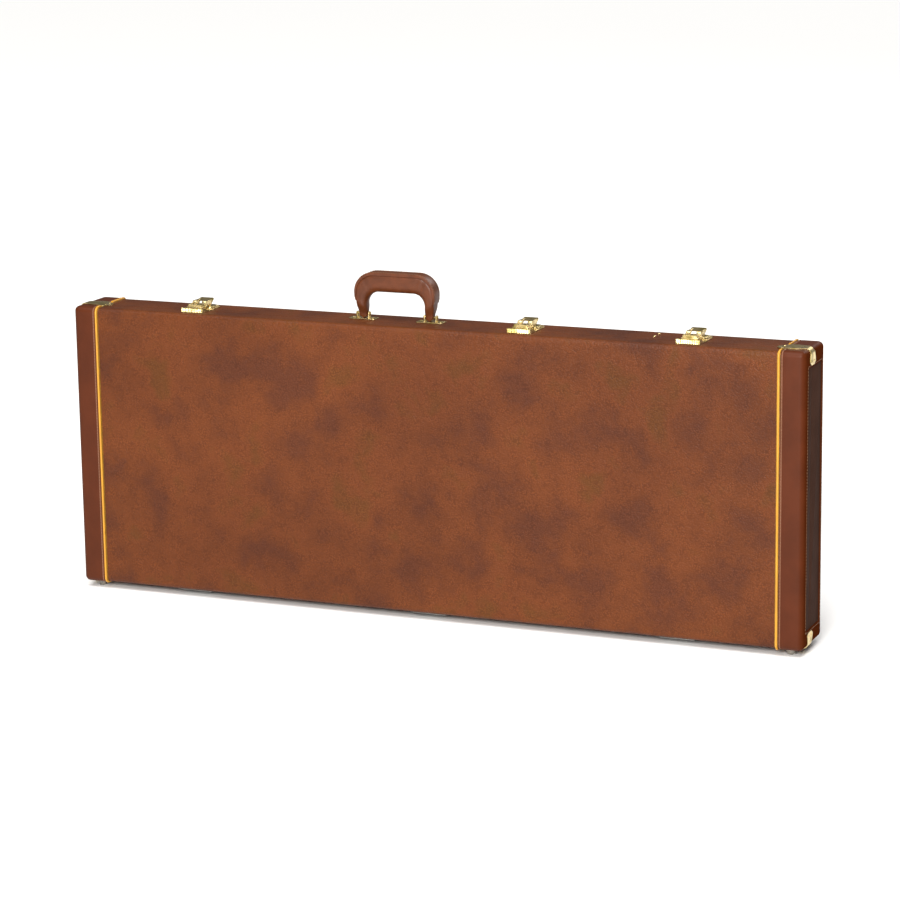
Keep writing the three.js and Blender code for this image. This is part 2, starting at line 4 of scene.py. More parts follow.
import bmesh
import bpy
import numpy as np
from bpy.props import FloatProperty, FloatVectorProperty, PointerProperty
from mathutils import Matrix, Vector


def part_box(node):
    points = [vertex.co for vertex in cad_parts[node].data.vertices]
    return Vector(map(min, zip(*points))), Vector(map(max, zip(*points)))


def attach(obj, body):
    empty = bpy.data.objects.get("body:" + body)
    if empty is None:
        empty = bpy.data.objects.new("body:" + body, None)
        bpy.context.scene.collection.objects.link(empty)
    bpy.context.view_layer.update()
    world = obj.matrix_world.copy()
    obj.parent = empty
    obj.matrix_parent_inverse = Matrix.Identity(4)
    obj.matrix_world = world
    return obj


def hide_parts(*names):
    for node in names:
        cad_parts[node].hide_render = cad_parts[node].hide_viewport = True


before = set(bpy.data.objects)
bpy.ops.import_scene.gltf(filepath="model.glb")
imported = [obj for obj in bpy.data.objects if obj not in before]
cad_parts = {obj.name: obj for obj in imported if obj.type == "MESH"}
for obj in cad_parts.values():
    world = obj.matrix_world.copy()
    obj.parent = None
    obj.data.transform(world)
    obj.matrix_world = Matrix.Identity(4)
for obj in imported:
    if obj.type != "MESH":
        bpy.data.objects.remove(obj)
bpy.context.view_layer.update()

bl_info = {"name": "Guitar Case", "version": (1, 0, 0), "blender": (4, 5, 0),
    "location": "View3D > Sidebar > Guitar Case",
    "description": "Covers, trim, hardware and lining of a hard-shell guitar case",
    "category": "Add Mesh"}

# ---- Levels read from the frame, in millimetres ----
MM = 0.001


def box_mm(node):
    """Lowest and highest corners of a frame node, in millimetres."""
    low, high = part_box(node)
    return np.array(low) / MM, np.array(high) / MM


def middle_of(node):
    return sum(box_mm(node)) / 2


CAP_LOW, CAP_HIGH = box_mm("lid_end_cap_right")
BODY_CAP_LOW, BODY_CAP_HIGH = box_mm("body_end_cap_right")
COVER_LOW, COVER_HIGH = box_mm("lid_cover")
CAP_START, HALF_LENGTH = CAP_LOW[0], CAP_HIGH[0]
UNDERSIDE, TOP = CAP_LOW[2], CAP_HIGH[2]
MIDDLE_Z = (UNDERSIDE + TOP) / 2
COVER_INSET = TOP - COVER_HIGH[2]
RIMS = {"lid": CAP_HIGH[1], "body": BODY_CAP_LOW[1]}
FACES = {"lid": CAP_LOW[1], "body": BODY_CAP_HIGH[1]}
SEAM = (RIMS["lid"] + RIMS["body"]) / 2
CENTRE = np.array([0, SEAM, MIDDLE_Z])
HALVES = ("lid", "body")
SIDES = {"left": -1, "right": 1}
SPOTS = ("left", "middle", "right")


# ---- What a user would change ----
def linear(code):
    """A six-digit sRGB hex colour as linear red, green, blue and alpha."""
    srgb = np.array([int(code[i : i + 2], 16) for i in (0, 2, 4)]) / 255
    values = np.where(srgb <= 0.04045, srgb / 12.92, ((srgb + 0.055) / 1.055) ** 2.4)
    return (*values.tolist(), 1.0)


def length(name, description, millimetres):
    return FloatProperty(name=name, description=description, default=millimetres * MM, min=0,
        unit="LENGTH", subtype="DISTANCE")


def paint(name, description, code):
    return FloatVectorProperty(name=name, description=description, default=linear(code), min=0, max=1,
        size=4, subtype="COLOR")


class CaseSizes(bpy.types.PropertyGroup):
    """Sizes of the coverings and trim."""

    corner_radius: length("Corner radius", "Outline corners, seen from the front", 8.5)
    edge_radius: length("Edge radius", "Long edges, seen from the end", 9.5)
    cover_thickness: length("Cover thickness", "Leathercloth over the middle", 1.2)
    cap_thickness: length("Cap thickness", "Leathercloth over the ends", 1.6)
    front_flap: length("Front flap", "Cap turned on to the end face from the front", 17)
    back_flap: length("Back flap", "Cap turned on to the end face from the back", 15)
    upright_flap: length("Top and bottom flaps", "Cap turned on to the end face", 28)
    panel_recess: length("Panel recess", "End panel below its flaps", 1.1)
    stitch_pitch: length("Stitch pitch", "From one stitch to the next", 5)
    thread: length("Thread", "Thickness of the sewing thread", 0.8)
    edge_welt: length("Edge welt", "Folded edge of the cap beside the piping", 2.4)
    piping_flange: length("Piping flange", "Flat of the piping on the cover", 1.3)
    rib_pitch: length("Rib pitch", "Ribs across a keeper's front", 2.8)
    grain: length("Grain", "Pebbles embossed in the leathercloth", 2.6)
    mottle: length("Mottle", "Clouds of colour in the leathercloth", 72)
    pile: length("Pile", "Tufts of the plush", 1.6)


class CaseColours(bpy.types.PropertyGroup):
    """Colours of the finishes."""

    cover_mid: paint("Cover", "Middle brown of the leathercloth", "5A2D11")
    cover_red: paint("Cover red", "Redder clouds of the leathercloth", "522914")
    cover_olive: paint("Cover olive", "Greener clouds of the leathercloth", "57300F")
    cap: paint("End caps", "Smooth leathercloth of the ends", "4B210D")
    panel: paint("End panels", "Panels between the flaps", "3E2A22")
    welt: paint("Folded edge", "Lighter folded edge beside the piping", "704835")
    thread: paint("Thread", "Sewing thread", "7C5838")
    piping: paint("Piping", "Golden piping", "C48B20")
    brass: paint("Brass", "Plated latches, guards and brackets", "DDC68E")
    brass_shade: paint("Brass in hollows", "Duller plating", "A59257")
    nickel: paint("Nickel", "Feet", "B8B2A8")
    steel: paint("Steel", "Hinges", "8E8C88")
    leather: paint("Leather", "Handle", "562A11")
    plush: paint("Plush", "Lining", "6E3038")
    plywood: paint("Plywood", "Shells under the covers", "B8925F")
    floor: paint("Floor", "Studio floor", "F4F3F1")


def size(name):
    """A size of the case, in millimetres."""
    return getattr(bpy.context.scene.case_sizes, name) / MM


def colour(name):
    return tuple(getattr(bpy.context.scene.case_colours, name))


# ---- Surfaces ----
def unit(vectors):
    return vectors / np.linalg.norm(vectors, axis=-1, keepdims=True)


def quarter(steps):
    """Angles of a quarter turn."""
    return np.linspace(0, np.pi / 2, steps)


def distances(path):
    """The distance along a path at each of its points."""
    return np.concatenate([[0], np.cumsum(np.linalg.norm(np.diff(path, axis=0), axis=1))])


def at_x(x, path):
    """(y, z) points (..., 2) given an x."""
    return np.stack(np.broadcast_arrays(x, path[..., 0], path[..., 1]), -1)


def at_y(y, path):
    """(x, z) points (..., 2) given a y."""
    return np.stack(np.broadcast_arrays(path[..., 0], y, path[..., 1]), -1)


def parabola(t, start, corner, end):
    """A curve that leaves the start towards the corner and comes to the end from it."""
    return (1 - t) ** 2 * start + 2 * t * (1 - t) * corner + t**2 * end


def grid(points, wrap_rows=False, wrap_columns=False, ends=False, centre=None):
    """A surface over points (rows, columns, 3) with a face between each four neighbours. The first and
    last rows can be closed with a face each. An open sheet's faces turn away from the centre."""
    rows, columns = points.shape[:2]
    row = np.arange(rows if wrap_rows else rows - 1)[:, None]
    column = np.arange(columns if wrap_columns else columns - 1)[None]
    here, after = row * columns, (row + 1) % rows * columns
    beside = (column + 1) % columns
    quads = np.stack([here + column, here + beside, after + beside, after + column], -1)
    lids = []
    if ends:
        lids = [np.arange(columns)[::-1], np.arange((rows - 1) * columns, rows * columns)]
    return points.reshape(-1, 3), quads.reshape(-1, 4), lids, centre


def volume(surface):
    """Six times the volume between a surface and its centre: positive if its faces turn outwards."""
    points, quads, lids, centre = surface
    points = points - (points.mean(0) if centre is None else centre)
    total = 0.0
    fans = [(quads[:, 0], quads[:, k], quads[:, k + 1]) for k in (1, 2)]
    fans += [(np.full(len(lid) - 2, lid[0]), lid[1:-1], lid[2:]) for lid in lids]
    for a, b, c in fans:
        total += (points[a] * np.cross(points[b], points[c])).sum()
    return total


def walled(points, thickness, centre=CENTRE):
    """A sheet of points (rows, columns, 3) made into a closed wall: its inner side is the sheet moved
    against its outward normal by the thickness, and the two are joined all round."""
    normal = unit(np.cross(np.gradient(points, axis=0), np.gradient(points, axis=1)))
    outward = np.sign(((points - centre) * normal).sum())
    inner = points - outward * thickness * normal
    return grid(np.concatenate([points, inner[:, ::-1]], axis=1), wrap_columns=True, ends=True)


def rounded(corners, radius, steps=4):
    """A closed outline with each corner replaced by a parabola that starts one radius before it and
    ends one radius after it."""
    corners = np.asarray(corners, float)
    radius = np.maximum(np.broadcast_to(radius, len(corners)), 0.1)[:, None]
    start = corners + radius * unit(np.roll(corners, 1, 0) - corners)
    end = corners + radius * unit(np.roll(corners, -1, 0) - corners)
    t = np.linspace(0, 1, steps + 1)[None, :, None]
    return parabola(t, start[:, None], corners[:, None], end[:, None]).reshape(-1, 2)


def rectangle(u0, u1, v0, v1, radius=0.5):
    return rounded([[u0, v0], [u1, v0], [u1, v1], [u0, v1]], radius)


def drawn_in(outline, inset):
    """An outline moved inwards by an inset along the mitres of its corners."""
    after = np.roll(outline, -1, 0) - outline
    area = (outline[:, 0] * np.roll(outline[:, 1], -1) - np.roll(outline[:, 0], -1) * outline[:, 1]).sum()
    normal = unit(np.stack([after[:, 1], -after[:, 0]], -1)) * np.sign(area)
    before = np.roll(normal, 1, 0)
    mitre = (normal + before) / (1 + (normal * before).sum(-1, keepdims=True))
    return outline - inset * mitre


AXES = {"x": (0, (1, 2)), "y": (1, (0, 2)), "z": (2, (0, 1))}


def prism(outline, low, high, edge, axis):
    """A closed outline carried along an axis from low to high. Towards each end it is drawn in by a
    quarter circle of radius edge, which rounds the rims."""
    turn = quarter(4)
    inset = edge * (1 - np.sin(turn))
    lift = edge * (1 - np.cos(turn))
    levels = np.concatenate([low + lift, high - lift[::-1]])
    rings = np.stack([drawn_in(outline, d) for d in np.concatenate([inset, inset[::-1]])])
    along, across = AXES[axis]
    points = np.empty((*rings.shape[:2], 3))
    points[..., along] = levels[:, None]
    points[..., across] = rings
    return grid(points, wrap_columns=True, ends=True)


def both_sides(outline, x, near, far, edge):
    """Two prisms along X, from near to far at each side of a middle."""
    return [prism(outline, *sorted([x + s * near, x + s * far]), edge, "x") for s in (-1, 1)]


def lathe(profile, centre, axis, steps=24):
    """A profile of (radius, height) points turned round an axis through the centre."""
    radius, height = np.asarray(profile, float).T[:, :, None]
    turn = np.linspace(0, 2 * np.pi, steps, endpoint=False)[None]
    along, (first, second) = AXES[axis]
    points = np.empty((len(radius), steps, 3))
    points[..., along] = height
    points[..., first] = radius * np.cos(turn)
    points[..., second] = radius * np.sin(turn)
    return grid(points + np.asarray(centre), wrap_columns=True)


def rivet(centre, axis, radius=2.2, height=1.0, steps=20):
    """A domed head: a quarter ellipse turned round the axis; a negative height turns it over."""
    turn = quarter(6)
    dome = np.stack([radius * np.cos(turn), height * np.sin(turn)], -1)
    foot = [[0, -0.4 * height], [radius, -0.4 * height]]
    return lathe(np.concatenate([foot, dome]), centre, axis, steps)


def pin(x, half_grip, y, z, radius, head, rim):
    """A rod along X with a slightly domed head at each end, turned from one profile."""
    end = half_grip + head
    right = [[radius, half_grip], [rim, half_grip + 0.1], [rim, end - 0.3], [rim - 0.4, end],
        [0, end + 0.1]]
    right = np.array(right)
    left = right[::-1] * [1, -1]
    return lathe(np.concatenate([left, right]), (x, y, z), "x", 20)


def sweep(path, side, up, section, wrap=False):
    """A closed section carried along a path (n, 3): each row is the path's point plus the section's two
    coordinates along that row's side and up directions. The section may differ from row to row."""
    side, up = np.broadcast_to(side, path.shape), np.broadcast_to(up, path.shape)
    section = np.broadcast_to(section, (len(path), *np.shape(section)[-2:]))
    points = path[:, None] + section[..., :1] * side[:, None] + section[..., 1:] * up[:, None]
    return grid(points, wrap_rows=wrap, wrap_columns=True, ends=not wrap)


def circle(radius, steps=16):
    turn = np.linspace(0, 2 * np.pi, steps, endpoint=False)
    return radius * np.stack([np.cos(turn), np.sin(turn)], -1)


def smooth_step(t):
    t = np.clip(t, 0, 1)
    return t * t * (3 - 2 * t)


def outward(path, across):
    """At each point of a path, the direction away from the case's centre at right angles to the path
    and to the across direction."""
    normal = unit(np.cross(np.gradient(path, axis=0), across))
    return normal * np.sign(((path - CENTRE) * normal).sum(-1, keepdims=True))


def stitches(path, up, pitch, reach, radius):
    """A row of stitches: small spindles at even steps along a path. Each one's radius falls to nothing
    at its ends as the root of one less the square of the place along it, and its middle arches up."""
    run = distances(path)
    count = int(run[-1] / pitch)
    place = (np.arange(count) + 0.5) * run[-1] / count

    def at(values, where):
        return np.stack([np.interp(where, run, values[:, k]) for k in range(3)], -1)

    centre = at(path, place)
    ahead = unit(at(path, place + 0.3) - at(path, place - 0.3))
    lift = unit(at(np.broadcast_to(up, path.shape), place))
    side = np.cross(ahead, lift)
    t = np.linspace(-1, 1, 6)
    fat = radius * np.sqrt(1 - 0.98 * t**2)
    turn = np.linspace(0, 2 * np.pi, 6, endpoint=False)
    lengthways = (t * reach / 2)[:, None] + 0 * turn[None]
    height = radius * 0.7 * (1 - t**2)[:, None] + fat[:, None] * np.cos(turn)[None]
    width = fat[:, None] * np.sin(turn)[None]
    points = centre[:, None, None] + lengthways[None, ..., None] * ahead[:, None, None]
    points = points + height[None, ..., None] * lift[:, None, None]
    points = points + width[None, ..., None] * side[:, None, None]
    _, quads, lids, _ = grid(points[0], wrap_columns=True, ends=True)
    shift = np.arange(count) * len(t) * len(turn)
    quads = (quads[None] + shift[:, None, None]).reshape(-1, 4)
    lids = [lid + offset for offset in shift for lid in lids]
    return points.reshape(-1, 3), quads, lids, None


# ---- Pieces ----
WELD = 0.002  # millimetres: closes poles and joins a surface to itself


def make_piece(name, surfaces, describe, body, replaces=(), bevel=0.0, crease=40):
    """One object from closed surfaces in millimetres, each turned to face outwards."""
    points, faces, start = [], [], 0
    for surface in surfaces:
        flip = -1 if volume(surface) < 0 else 1
        vertices, quads, lids, _ = surface
        faces += (quads[:, ::flip] + start).tolist()
        faces += [(lid[::flip] + start).tolist() for lid in lids]
        points.append(vertices)
        start += len(vertices)
    mesh = bpy.data.meshes.new(name)
    mesh.from_pydata((np.concatenate(points) * MM).tolist(), [], faces)
    edit = bmesh.new()
    edit.from_mesh(mesh)
    bmesh.ops.remove_doubles(edit, verts=edit.verts, dist=WELD * MM)
    edit.to_mesh(mesh)
    edit.free()
    mesh.shade_smooth()
    mesh.set_sharp_from_angle(angle=np.radians(crease))
    piece = bpy.data.objects.new(name, mesh)
    bpy.context.scene.collection.objects.link(piece)
    mesh.materials.append(finish(describe))
    if bevel:
        rim = piece.modifiers.new("Rounded rims", "BEVEL")
        rim.width = bevel * MM
        rim.segments = 2
        rim.limit_method = "ANGLE"
        rim.angle_limit = np.radians(crease)
        rim.harden_normals = True
    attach(piece, body)
    if replaces:
        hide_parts(*replaces)
    return piece


# ---- Finishes ----
def fill(node, inputs):
    """Fills a node's inputs, given by name or in the node's own order: a socket is linked, anything
    else is a value."""
    for key, value in inputs.items() if isinstance(inputs, dict) else enumerate(inputs):
        if isinstance(value, bpy.types.NodeSocket):
            node.id_data.links.new(value, node.inputs[key])
        else:
            node.inputs[key].default_value = value


def add_node(tree, kind, inputs=(), output=0, stops=(), **settings):
    """Adds a node, whose kind is its type without ShaderNode, and returns one of its outputs."""
    node = tree.nodes.new("ShaderNode" + kind)
    for key, value in settings.items():
        setattr(node, key, value)
    fill(node, inputs)
    if stops:
        ramp = node.color_ramp.elements
        for _ in stops[2:]:
            ramp.new(0.5)
        for element, (place, tone) in zip(ramp, stops):
            element.position = place
            element.color = tone
    return node.outputs[output]


def finish(describe):
    """The material that a function describes, made the first time that it is asked for."""
    material = bpy.data.materials.get(describe.__name__)
    if material is None:
        material = bpy.data.materials.new(describe.__name__)
        material.use_nodes = True
        tree = material.node_tree
        describe(tree, tree.nodes["Principled BSDF"], add_node(tree, "TexCoord", output="Object"))
    return material


def tones(name, *stops):
    """Stops of a colour ramp: places, each with a colour of the case made darker or lighter."""
    return [(place, (*(channel * factor for channel in colour(name)[:3]), 1.0)) for place,
        factor in stops]


def texture(tree, kind, place, millimetres, output=0, feature=None, **inputs):
    """A texture whose features are of a real size."""
    inputs = {"Vector": place, "Scale": 1 / (millimetres * MM), **inputs}
    return add_node(tree, "Tex" + kind, inputs, output, **({"feature": feature} if feature else {}))


def clouded(tree, place, millimetres, stops, **noise):
    """Clouds of a real size: their value, and that value as a colour."""
    cloud = texture(tree, "Noise", place, millimetres, **noise)
    return cloud, add_node(tree, "ValToRGB", [cloud], stops=stops)


def relief(tree, shader, *layers):
    """Bumps, each over the one before: a height between 0 and 1, its depth in millimetres and a
    strength."""
    under = {}
    for height, depth, strength in layers:
        inputs = {"Height": height, "Distance": depth * MM, "Strength": strength, **under}
        under = {"Normal": add_node(tree, "Bump", inputs)}
    fill(shader, under)


BLEND = {"data_type": "RGBA"}
MULTIPLY = {"data_type": "RGBA", "blend_type": "MULTIPLY"}


def pebbled_leathercloth(tree, shader, place):
    """Calendered PVC on cloth, printed like a mottled tanned hide and embossed with a pebble grain.
    The clouds give it depth of colour and the pebbles break the light into small glints."""
    mottle, grain = size("mottle"), size("grain")
    stops = tones("cover_red", (0.34, 0.92)) + tones("cover_mid", (0.48, 1), (0.58, 1.14))
    stops += tones("cover_olive", (0.7, 1))
    hide = clouded(tree, place, mottle, stops, Detail=3.0, Roughness=0.55, Distortion=0.15)[1]
    stops = [(0.36, (0.86, 0.84, 0.83, 1)), (0.64, (1.04, 1.04, 1.04, 1))]
    drift = clouded(tree, place, 3.5 * mottle, stops)[1]
    tinted = add_node(tree, "Mix", {0: 1.0, 6: hide, 7: drift}, 2, **MULTIPLY)
    wander = texture(tree, "Noise", place, 2 * grain, output="Color")
    bent = add_node(tree, "Mix", {0: 0.0015, 4: place, 5: wander}, 1, data_type="VECTOR")
    pebble = texture(tree, "Voronoi", bent, grain, feature="SMOOTH_F1", Smoothness=0.35)
    dome = add_node(tree, "MapRange", (pebble, 0.16, 0.74, 1.0, 0.0), interpolation_type="SMOOTHSTEP")
    patch = texture(tree, "Noise", place, 16, Detail=3.0, Roughness=0.6)
    strength = add_node(tree, "MapRange", (patch, 0.4, 0.62, 0.25, 1.0))
    # Painted highlight and painted shade: rubbed is the lighter colour painted on each pebble's crown for
    # a glint, and hollow is the darker colour painted between pebbles for shade; strength sets where they
    # show.
    hollow, rubbed = (0.8, 0.78, 0.77, 1.0), (1.22, 1.24, 1.3, 1.0)
    painted_glint_shade = add_node(tree, "Mix", {0: dome, 6: hollow, 7: rubbed}, 2, **BLEND)
    patchy_glint_shade = add_node(tree, "Mix", {0: strength, 6: (1.0, 1.0, 1.0, 1.0), 7: painted_glint_shade}, 2, **BLEND)
    # The base colour: the printed hide times the painted glints and shade of the pebbles.
    printed = add_node(tree, "Mix", {0: 1.0, 6: tinted, 7: patchy_glint_shade}, 2, **MULTIPLY)
    gloss = add_node(tree, "MapRange", (patch, 0.0, 1.0, 0.5, 0.34))
    fill(shader, {"Base Color": printed, "Roughness": gloss, "Specular IOR Level": 0.17})
    swell = texture(tree, "Noise", place, 1.6 * grain, Detail=3.0, Roughness=0.6)
    relief(tree, shader, (swell, 1.1, 0.8), (dome, 0.3, 0.9))


def smooth_leathercloth(tree, shader, place, base="cap"):
    """Calendered PVC with a fine rubbed surface and no grain: even colour with soft lighter scuffs.
    The end faces, on which the case is stood, are rubbed dull."""
    from_middle = add_node(tree, "Math", [add_node(tree, "SeparateXYZ", [place])], operation="ABSOLUTE")
    ends = (HALF_LENGTH - 9) * MM, (HALF_LENGTH - 1) * MM
    dulled = add_node(tree, "MapRange", (from_middle, *ends, 0.14, 0.0))
    stops = tones(base, (0.35, 0.9), (0.65, 1.1))
    cloud, skin = clouded(tree, place, 45, stops, Detail=3.0, Roughness=0.6)
    pores = texture(tree, "Noise", place, 1.4, Detail=3.0, Roughness=0.7)
    gloss = add_node(tree, "MapRange", (pores, 0.0, 1.0, 0.36, 0.52))
    fill(shader, {"Base Color": skin, "Roughness": gloss, "Specular IOR Level": dulled})
    relief(tree, shader, (cloud, 0.4, 0.5), (pores, 0.06, 0.7))


def panel_leathercloth(tree, shader, place):
    """The same cloth in grey-brown, for the end panels: darker and cooler than the caps."""
    smooth_leathercloth(tree, shader, place, "panel")


def folded_cloth_edge(tree, shader, place):
    """Rubbed fold of the leathercloth, paler where the colour has worn off its edge."""
    smooth_leathercloth(tree, shader, place, "welt")


def extruded_pvc_cord(tree, shader, place):
    """Extruded flexible PVC over a cord core: a clean, slightly waxy golden yellow."""
    stops = tones("piping", (0.35, 0.86), (0.6, 1))
    tone = clouded(tree, place, 30, stops, Detail=3.0, Roughness=0.6)[1]
    fill(shader, {"Base Color": tone, "Roughness": 0.36, "Specular IOR Level": 0.5})
    fill(shader, {"Subsurface Weight": 0.05, "Subsurface Radius": (0.004, 0.002, 0.001)})
    relief(tree, shader, (texture(tree, "Noise", place, 1.2), 0.05, 0.6))


def pvc_flange(tree, shader, place):
    """The piping's flat flange, pressed into the cover beside it: the same PVC, darkened by handling."""
    # Painted shade: the flange is the piping's colour at a fifth to two fifths, standing for the shade
    # beside the cord, with some grime.
    shade_and_grime, tone = clouded(tree, place, 8, tones("piping", (0.35, 0.22), (0.65, 0.42)), Detail=3.0)
    fill(shader, {"Base Color": tone, "Roughness": 0.5, "Specular IOR Level": 0.3})
    relief(tree, shader, (shade_and_grime, 0.1, 1.0))


def waxed_thread(tree, shader, place):
    """Twisted polyester thread: matt, with fine strands across it."""
    strand, tone = clouded(tree, place, 0.6, tones("thread", (0.3, 0.65), (0.7, 1.15)))
    fill(shader, {"Base Color": tone, "Roughness": 0.7, "Sheen Weight": 0.2})
    relief(tree, shader, (strand, 0.1, 1.0))


def plated_metal(tree, shader, place, stops, clear, dull):
    """Pressed sheet with a thin plating: clear reflections that blur where handling has dulled it."""
    handled, tone = clouded(tree, place, 14, stops)
    gloss = add_node(tree, "MapRange", (handled, 0.3, 0.7, dull, clear))
    fill(shader, {"Base Color": tone, "Metallic": 1.0, "Roughness": gloss})
    rubbed = add_node(tree, "Mapping", {"Vector": place, "Scale": (0.12, 1.0, 1.0)})
    relief(tree, shader, (texture(tree, "Noise", rubbed, 0.8), 0.006, 0.3))


def plated_brass(tree, shader, place):
    """Brass-plated pressed steel, a little greener where it is dull."""
    stops = tones("brass_shade", (0.36, 1)) + tones("brass", (0.55, 1))
    plated_metal(tree, shader, place, stops, 0.26, 0.4)


def polished_nickel(tree, shader, place):
    """Nickel-plated pressed steel: bright, with darker patches where it is handled."""
    plated_metal(tree, shader, place, tones("nickel", (0.36, 0.6), (0.55, 1)), 0.16, 0.3)


def zinc_plated_steel(tree, shader, place):
    """Zinc-plated rolled steel, greyer and more matt than nickel."""
    plated_metal(tree, shader, place, tones("steel", (0.36, 0.82), (0.55, 1)), 0.3, 0.45)


def waxed_leather(tree, shader, place):
    """Dyed and waxed cowhide, drawn tight over a core: a soft gloss over fine creases."""
    stops = tones("leather", (0.34, 0.78), (0.62, 1.15))
    cloud, dye = clouded(tree, place, 22, stops, Detail=4.0, Roughness=0.6)
    gloss = add_node(tree, "MapRange", (cloud, 0.0, 1.0, 0.36, 0.52))
    fill(shader, {"Base Color": dye, "Roughness": gloss, "Specular IOR Level": 0.3})
    pores = texture(tree, "Voronoi", place, 1.1, "Distance", "DISTANCE_TO_EDGE")
    relief(tree, shader, (cloud, 0.35, 0.7), (pores, 0.07, 0.8))


def crushed_plush(tree, shader, place):
    """Knitted nylon pile: a dusty rose that is paler where the tufts lie over and catch the light."""
    stops = tones("plush", (0.36, 0.72), (0.62, 1.2))
    crushed, rose = clouded(tree, place, 28, stops, Detail=4.0, Roughness=0.65, Distortion=1.2)
    stops = [(0.3, (0.7, 0.7, 0.7, 1)), (0.68, (1.1, 1.1, 1.1, 1))]
    tuft, fleck = clouded(tree, place, size("pile"), stops, Detail=3.0, Roughness=0.7)
    tone = add_node(tree, "Mix", {0: 1.0, 6: rose, 7: fleck}, 2, **MULTIPLY)
    fill(shader, {"Base Color": tone, "Roughness": 0.95, "Specular IOR Level": 0.15})
    fill(shader, {"Sheen Weight": 0.7, "Sheen Roughness": 0.4})
    relief(tree, shader, (crushed, 1.2, 0.6), (tuft, 0.9, 0.9))


def birch_plywood(tree, shader, place):
    """Rotary-cut birch ply: pale wood with long streaks along the case."""
    drawn_out = add_node(tree, "Mapping", {"Vector": place, "Scale": (0.06, 1.0, 1.0)})
    stops = tones("plywood", (0.35, 0.7), (0.65, 1.1))
    streak, tone = clouded(tree, drawn_out, 6, stops, Detail=5.0, Roughness=0.6)
    fill(shader, {"Base Color": tone, "Roughness": 0.65})
    relief(tree, shader, (streak, 0.2, 0.6))


def painted_floor(tree, shader, place):
    """Matt white paint on a smooth floor."""
    fill(shader, {"Base Color": colour("floor"), "Roughness": 0.9, "Specular IOR Level": 0.1})


# ---- Covers and end caps ----
def half_rows(half, face_inset, side_inset, radius, top_start=0.0, turns=9, flats=9):
    """Rows of the U-shaped (y, z) path round one half of the case, from its top rim over the face to
    its bottom rim. Each row is drawn in from the face and from the top and underside, and its two
    corners are quarter circles."""
    rim, face = RIMS[half], FACES[half]
    toward = np.sign(rim - face)
    values = [np.atleast_1d(np.asarray(v, float)) for v in (face_inset, side_inset, radius)]
    face_inset, side_inset, radius = (v[:, None] for v in np.broadcast_arrays(*values))
    turn = quarter(turns)[None]
    share = np.linspace(0, 1, flats)[None]
    high, low = TOP - side_inset, UNDERSIDE + side_inset
    wall = face + toward * face_inset
    middle = wall + toward * radius
    start = rim - toward * top_start

    def row(y, z):
        return np.stack(np.broadcast_arrays(y, z), -1)

    parts = [row(start + (middle - start) * share[:, :-1], high),
        row(middle - toward * radius * np.sin(turn), high - radius * (1 - np.cos(turn))),
        row(wall, (high - radius) + (low - high + 2 * radius) * share[:, 1:-1]),
        row(middle - toward * radius * np.cos(turn), low + radius * (1 - np.sin(turn))),
        row(middle + (rim - middle) * share[:, 1:], low)]
    return np.concatenate(parts, axis=1)


def build_covers():
    for half in HALVES:
        path = half_rows(half, COVER_INSET, COVER_INSET, size("edge_radius") - COVER_INSET, flats=13)
        x = np.linspace(COVER_LOW[0], COVER_HIGH[0], 49)[:, None]
        sheet = at_x(x, path)
        make_piece(f"{half}_leathercloth", [walled(sheet, size("cover_thickness"))],
            pebbled_leathercloth, half, [f"{half}_cover"], bevel=0.4)


def flap_of(half):
    """How far a half's cap is turned on to the end face from its front or back, in millimetres."""
    return size("front_flap" if half == "lid" else "back_flap")


STITCHED_DIP = 0.8  # the cap is drawn down this much where it is sewn beside the piping


def cap_sheet(half, sign):
    """An end cap: the half's U-shaped path carried along X, drawn in by a bell curve at its stitched
    edge and by a quarter ellipse over the corner, then across the end face to the flaps' edges."""
    edge, corner = size("edge_radius"), size("corner_radius")
    flap = flap_of(half)
    upright, recess = size("upright_flap"), size("panel_recess")
    t = np.linspace(0, 1, 12)
    dip = STITCHED_DIP * np.exp(-((t * (HALF_LENGTH - CAP_START) / 6) ** 2))
    turn = quarter(9)[1:]
    share = np.linspace(0, 1, 5)[1:]
    tuck = np.array([0.25, 0.35])
    face_inset = np.concatenate([dip, edge * (1 - np.cos(turn)), edge + (flap - edge) * share,
        flap + tuck])
    side_inset = np.concatenate([dip, corner * (1 - np.cos(turn)), corner + (upright - corner) * share,
        upright + tuck])
    radius = np.maximum(edge - face_inset, 2.0)
    path = half_rows(half, face_inset, side_inset, radius)
    tangent = np.abs(np.gradient(path[0], axis=0))
    bend = edge + (corner - edge) * tangent[:, 0] / tangent.sum(-1)
    straight = CAP_START + (HALF_LENGTH - bend - CAP_START) * t[:, None]
    over = HALF_LENGTH - bend * (1 - np.sin(turn[:, None]))
    flat = np.full((len(share), len(bend)), HALF_LENGTH)
    down = np.full((2, len(bend)), HALF_LENGTH) - [[0.3], [recess + 0.2]]
    return at_x(sign * np.concatenate([straight, over, flat, down]), path)


def build_end_caps():
    recess, overlap = size("panel_recess"), 3.0
    upright = size("upright_flap") - overlap
    for half in HALVES:
        face, rim = FACES[half], RIMS[half]
        flap = flap_of(half) - overlap
        for side, sign in SIDES.items():
            make_piece(f"{half}_end_cap_skin_{side}",
                [walled(cap_sheet(half, sign), size("cap_thickness"))], smooth_leathercloth, half,
                [f"{half}_end_cap_{side}"], bevel=0.4)
            inner = face + flap * np.sign(rim - face)
            outline = rectangle(*sorted([inner, rim]), UNDERSIDE + upright, TOP - upright, 0.6)
            span = sorted([sign * (HALF_LENGTH - recess - 2), sign * (HALF_LENGTH - recess)])
            make_piece(f"{half}_end_panel_{side}", [prism(outline, *span, 0.5, "x")], panel_leathercloth,
                half)


def edge_path(half, sign, x, inset, top_start=0.0):
    radius = size("edge_radius") - inset
    path = half_rows(half, inset, inset, radius, top_start, flats=24)[0]
    return at_x(sign * x, path)


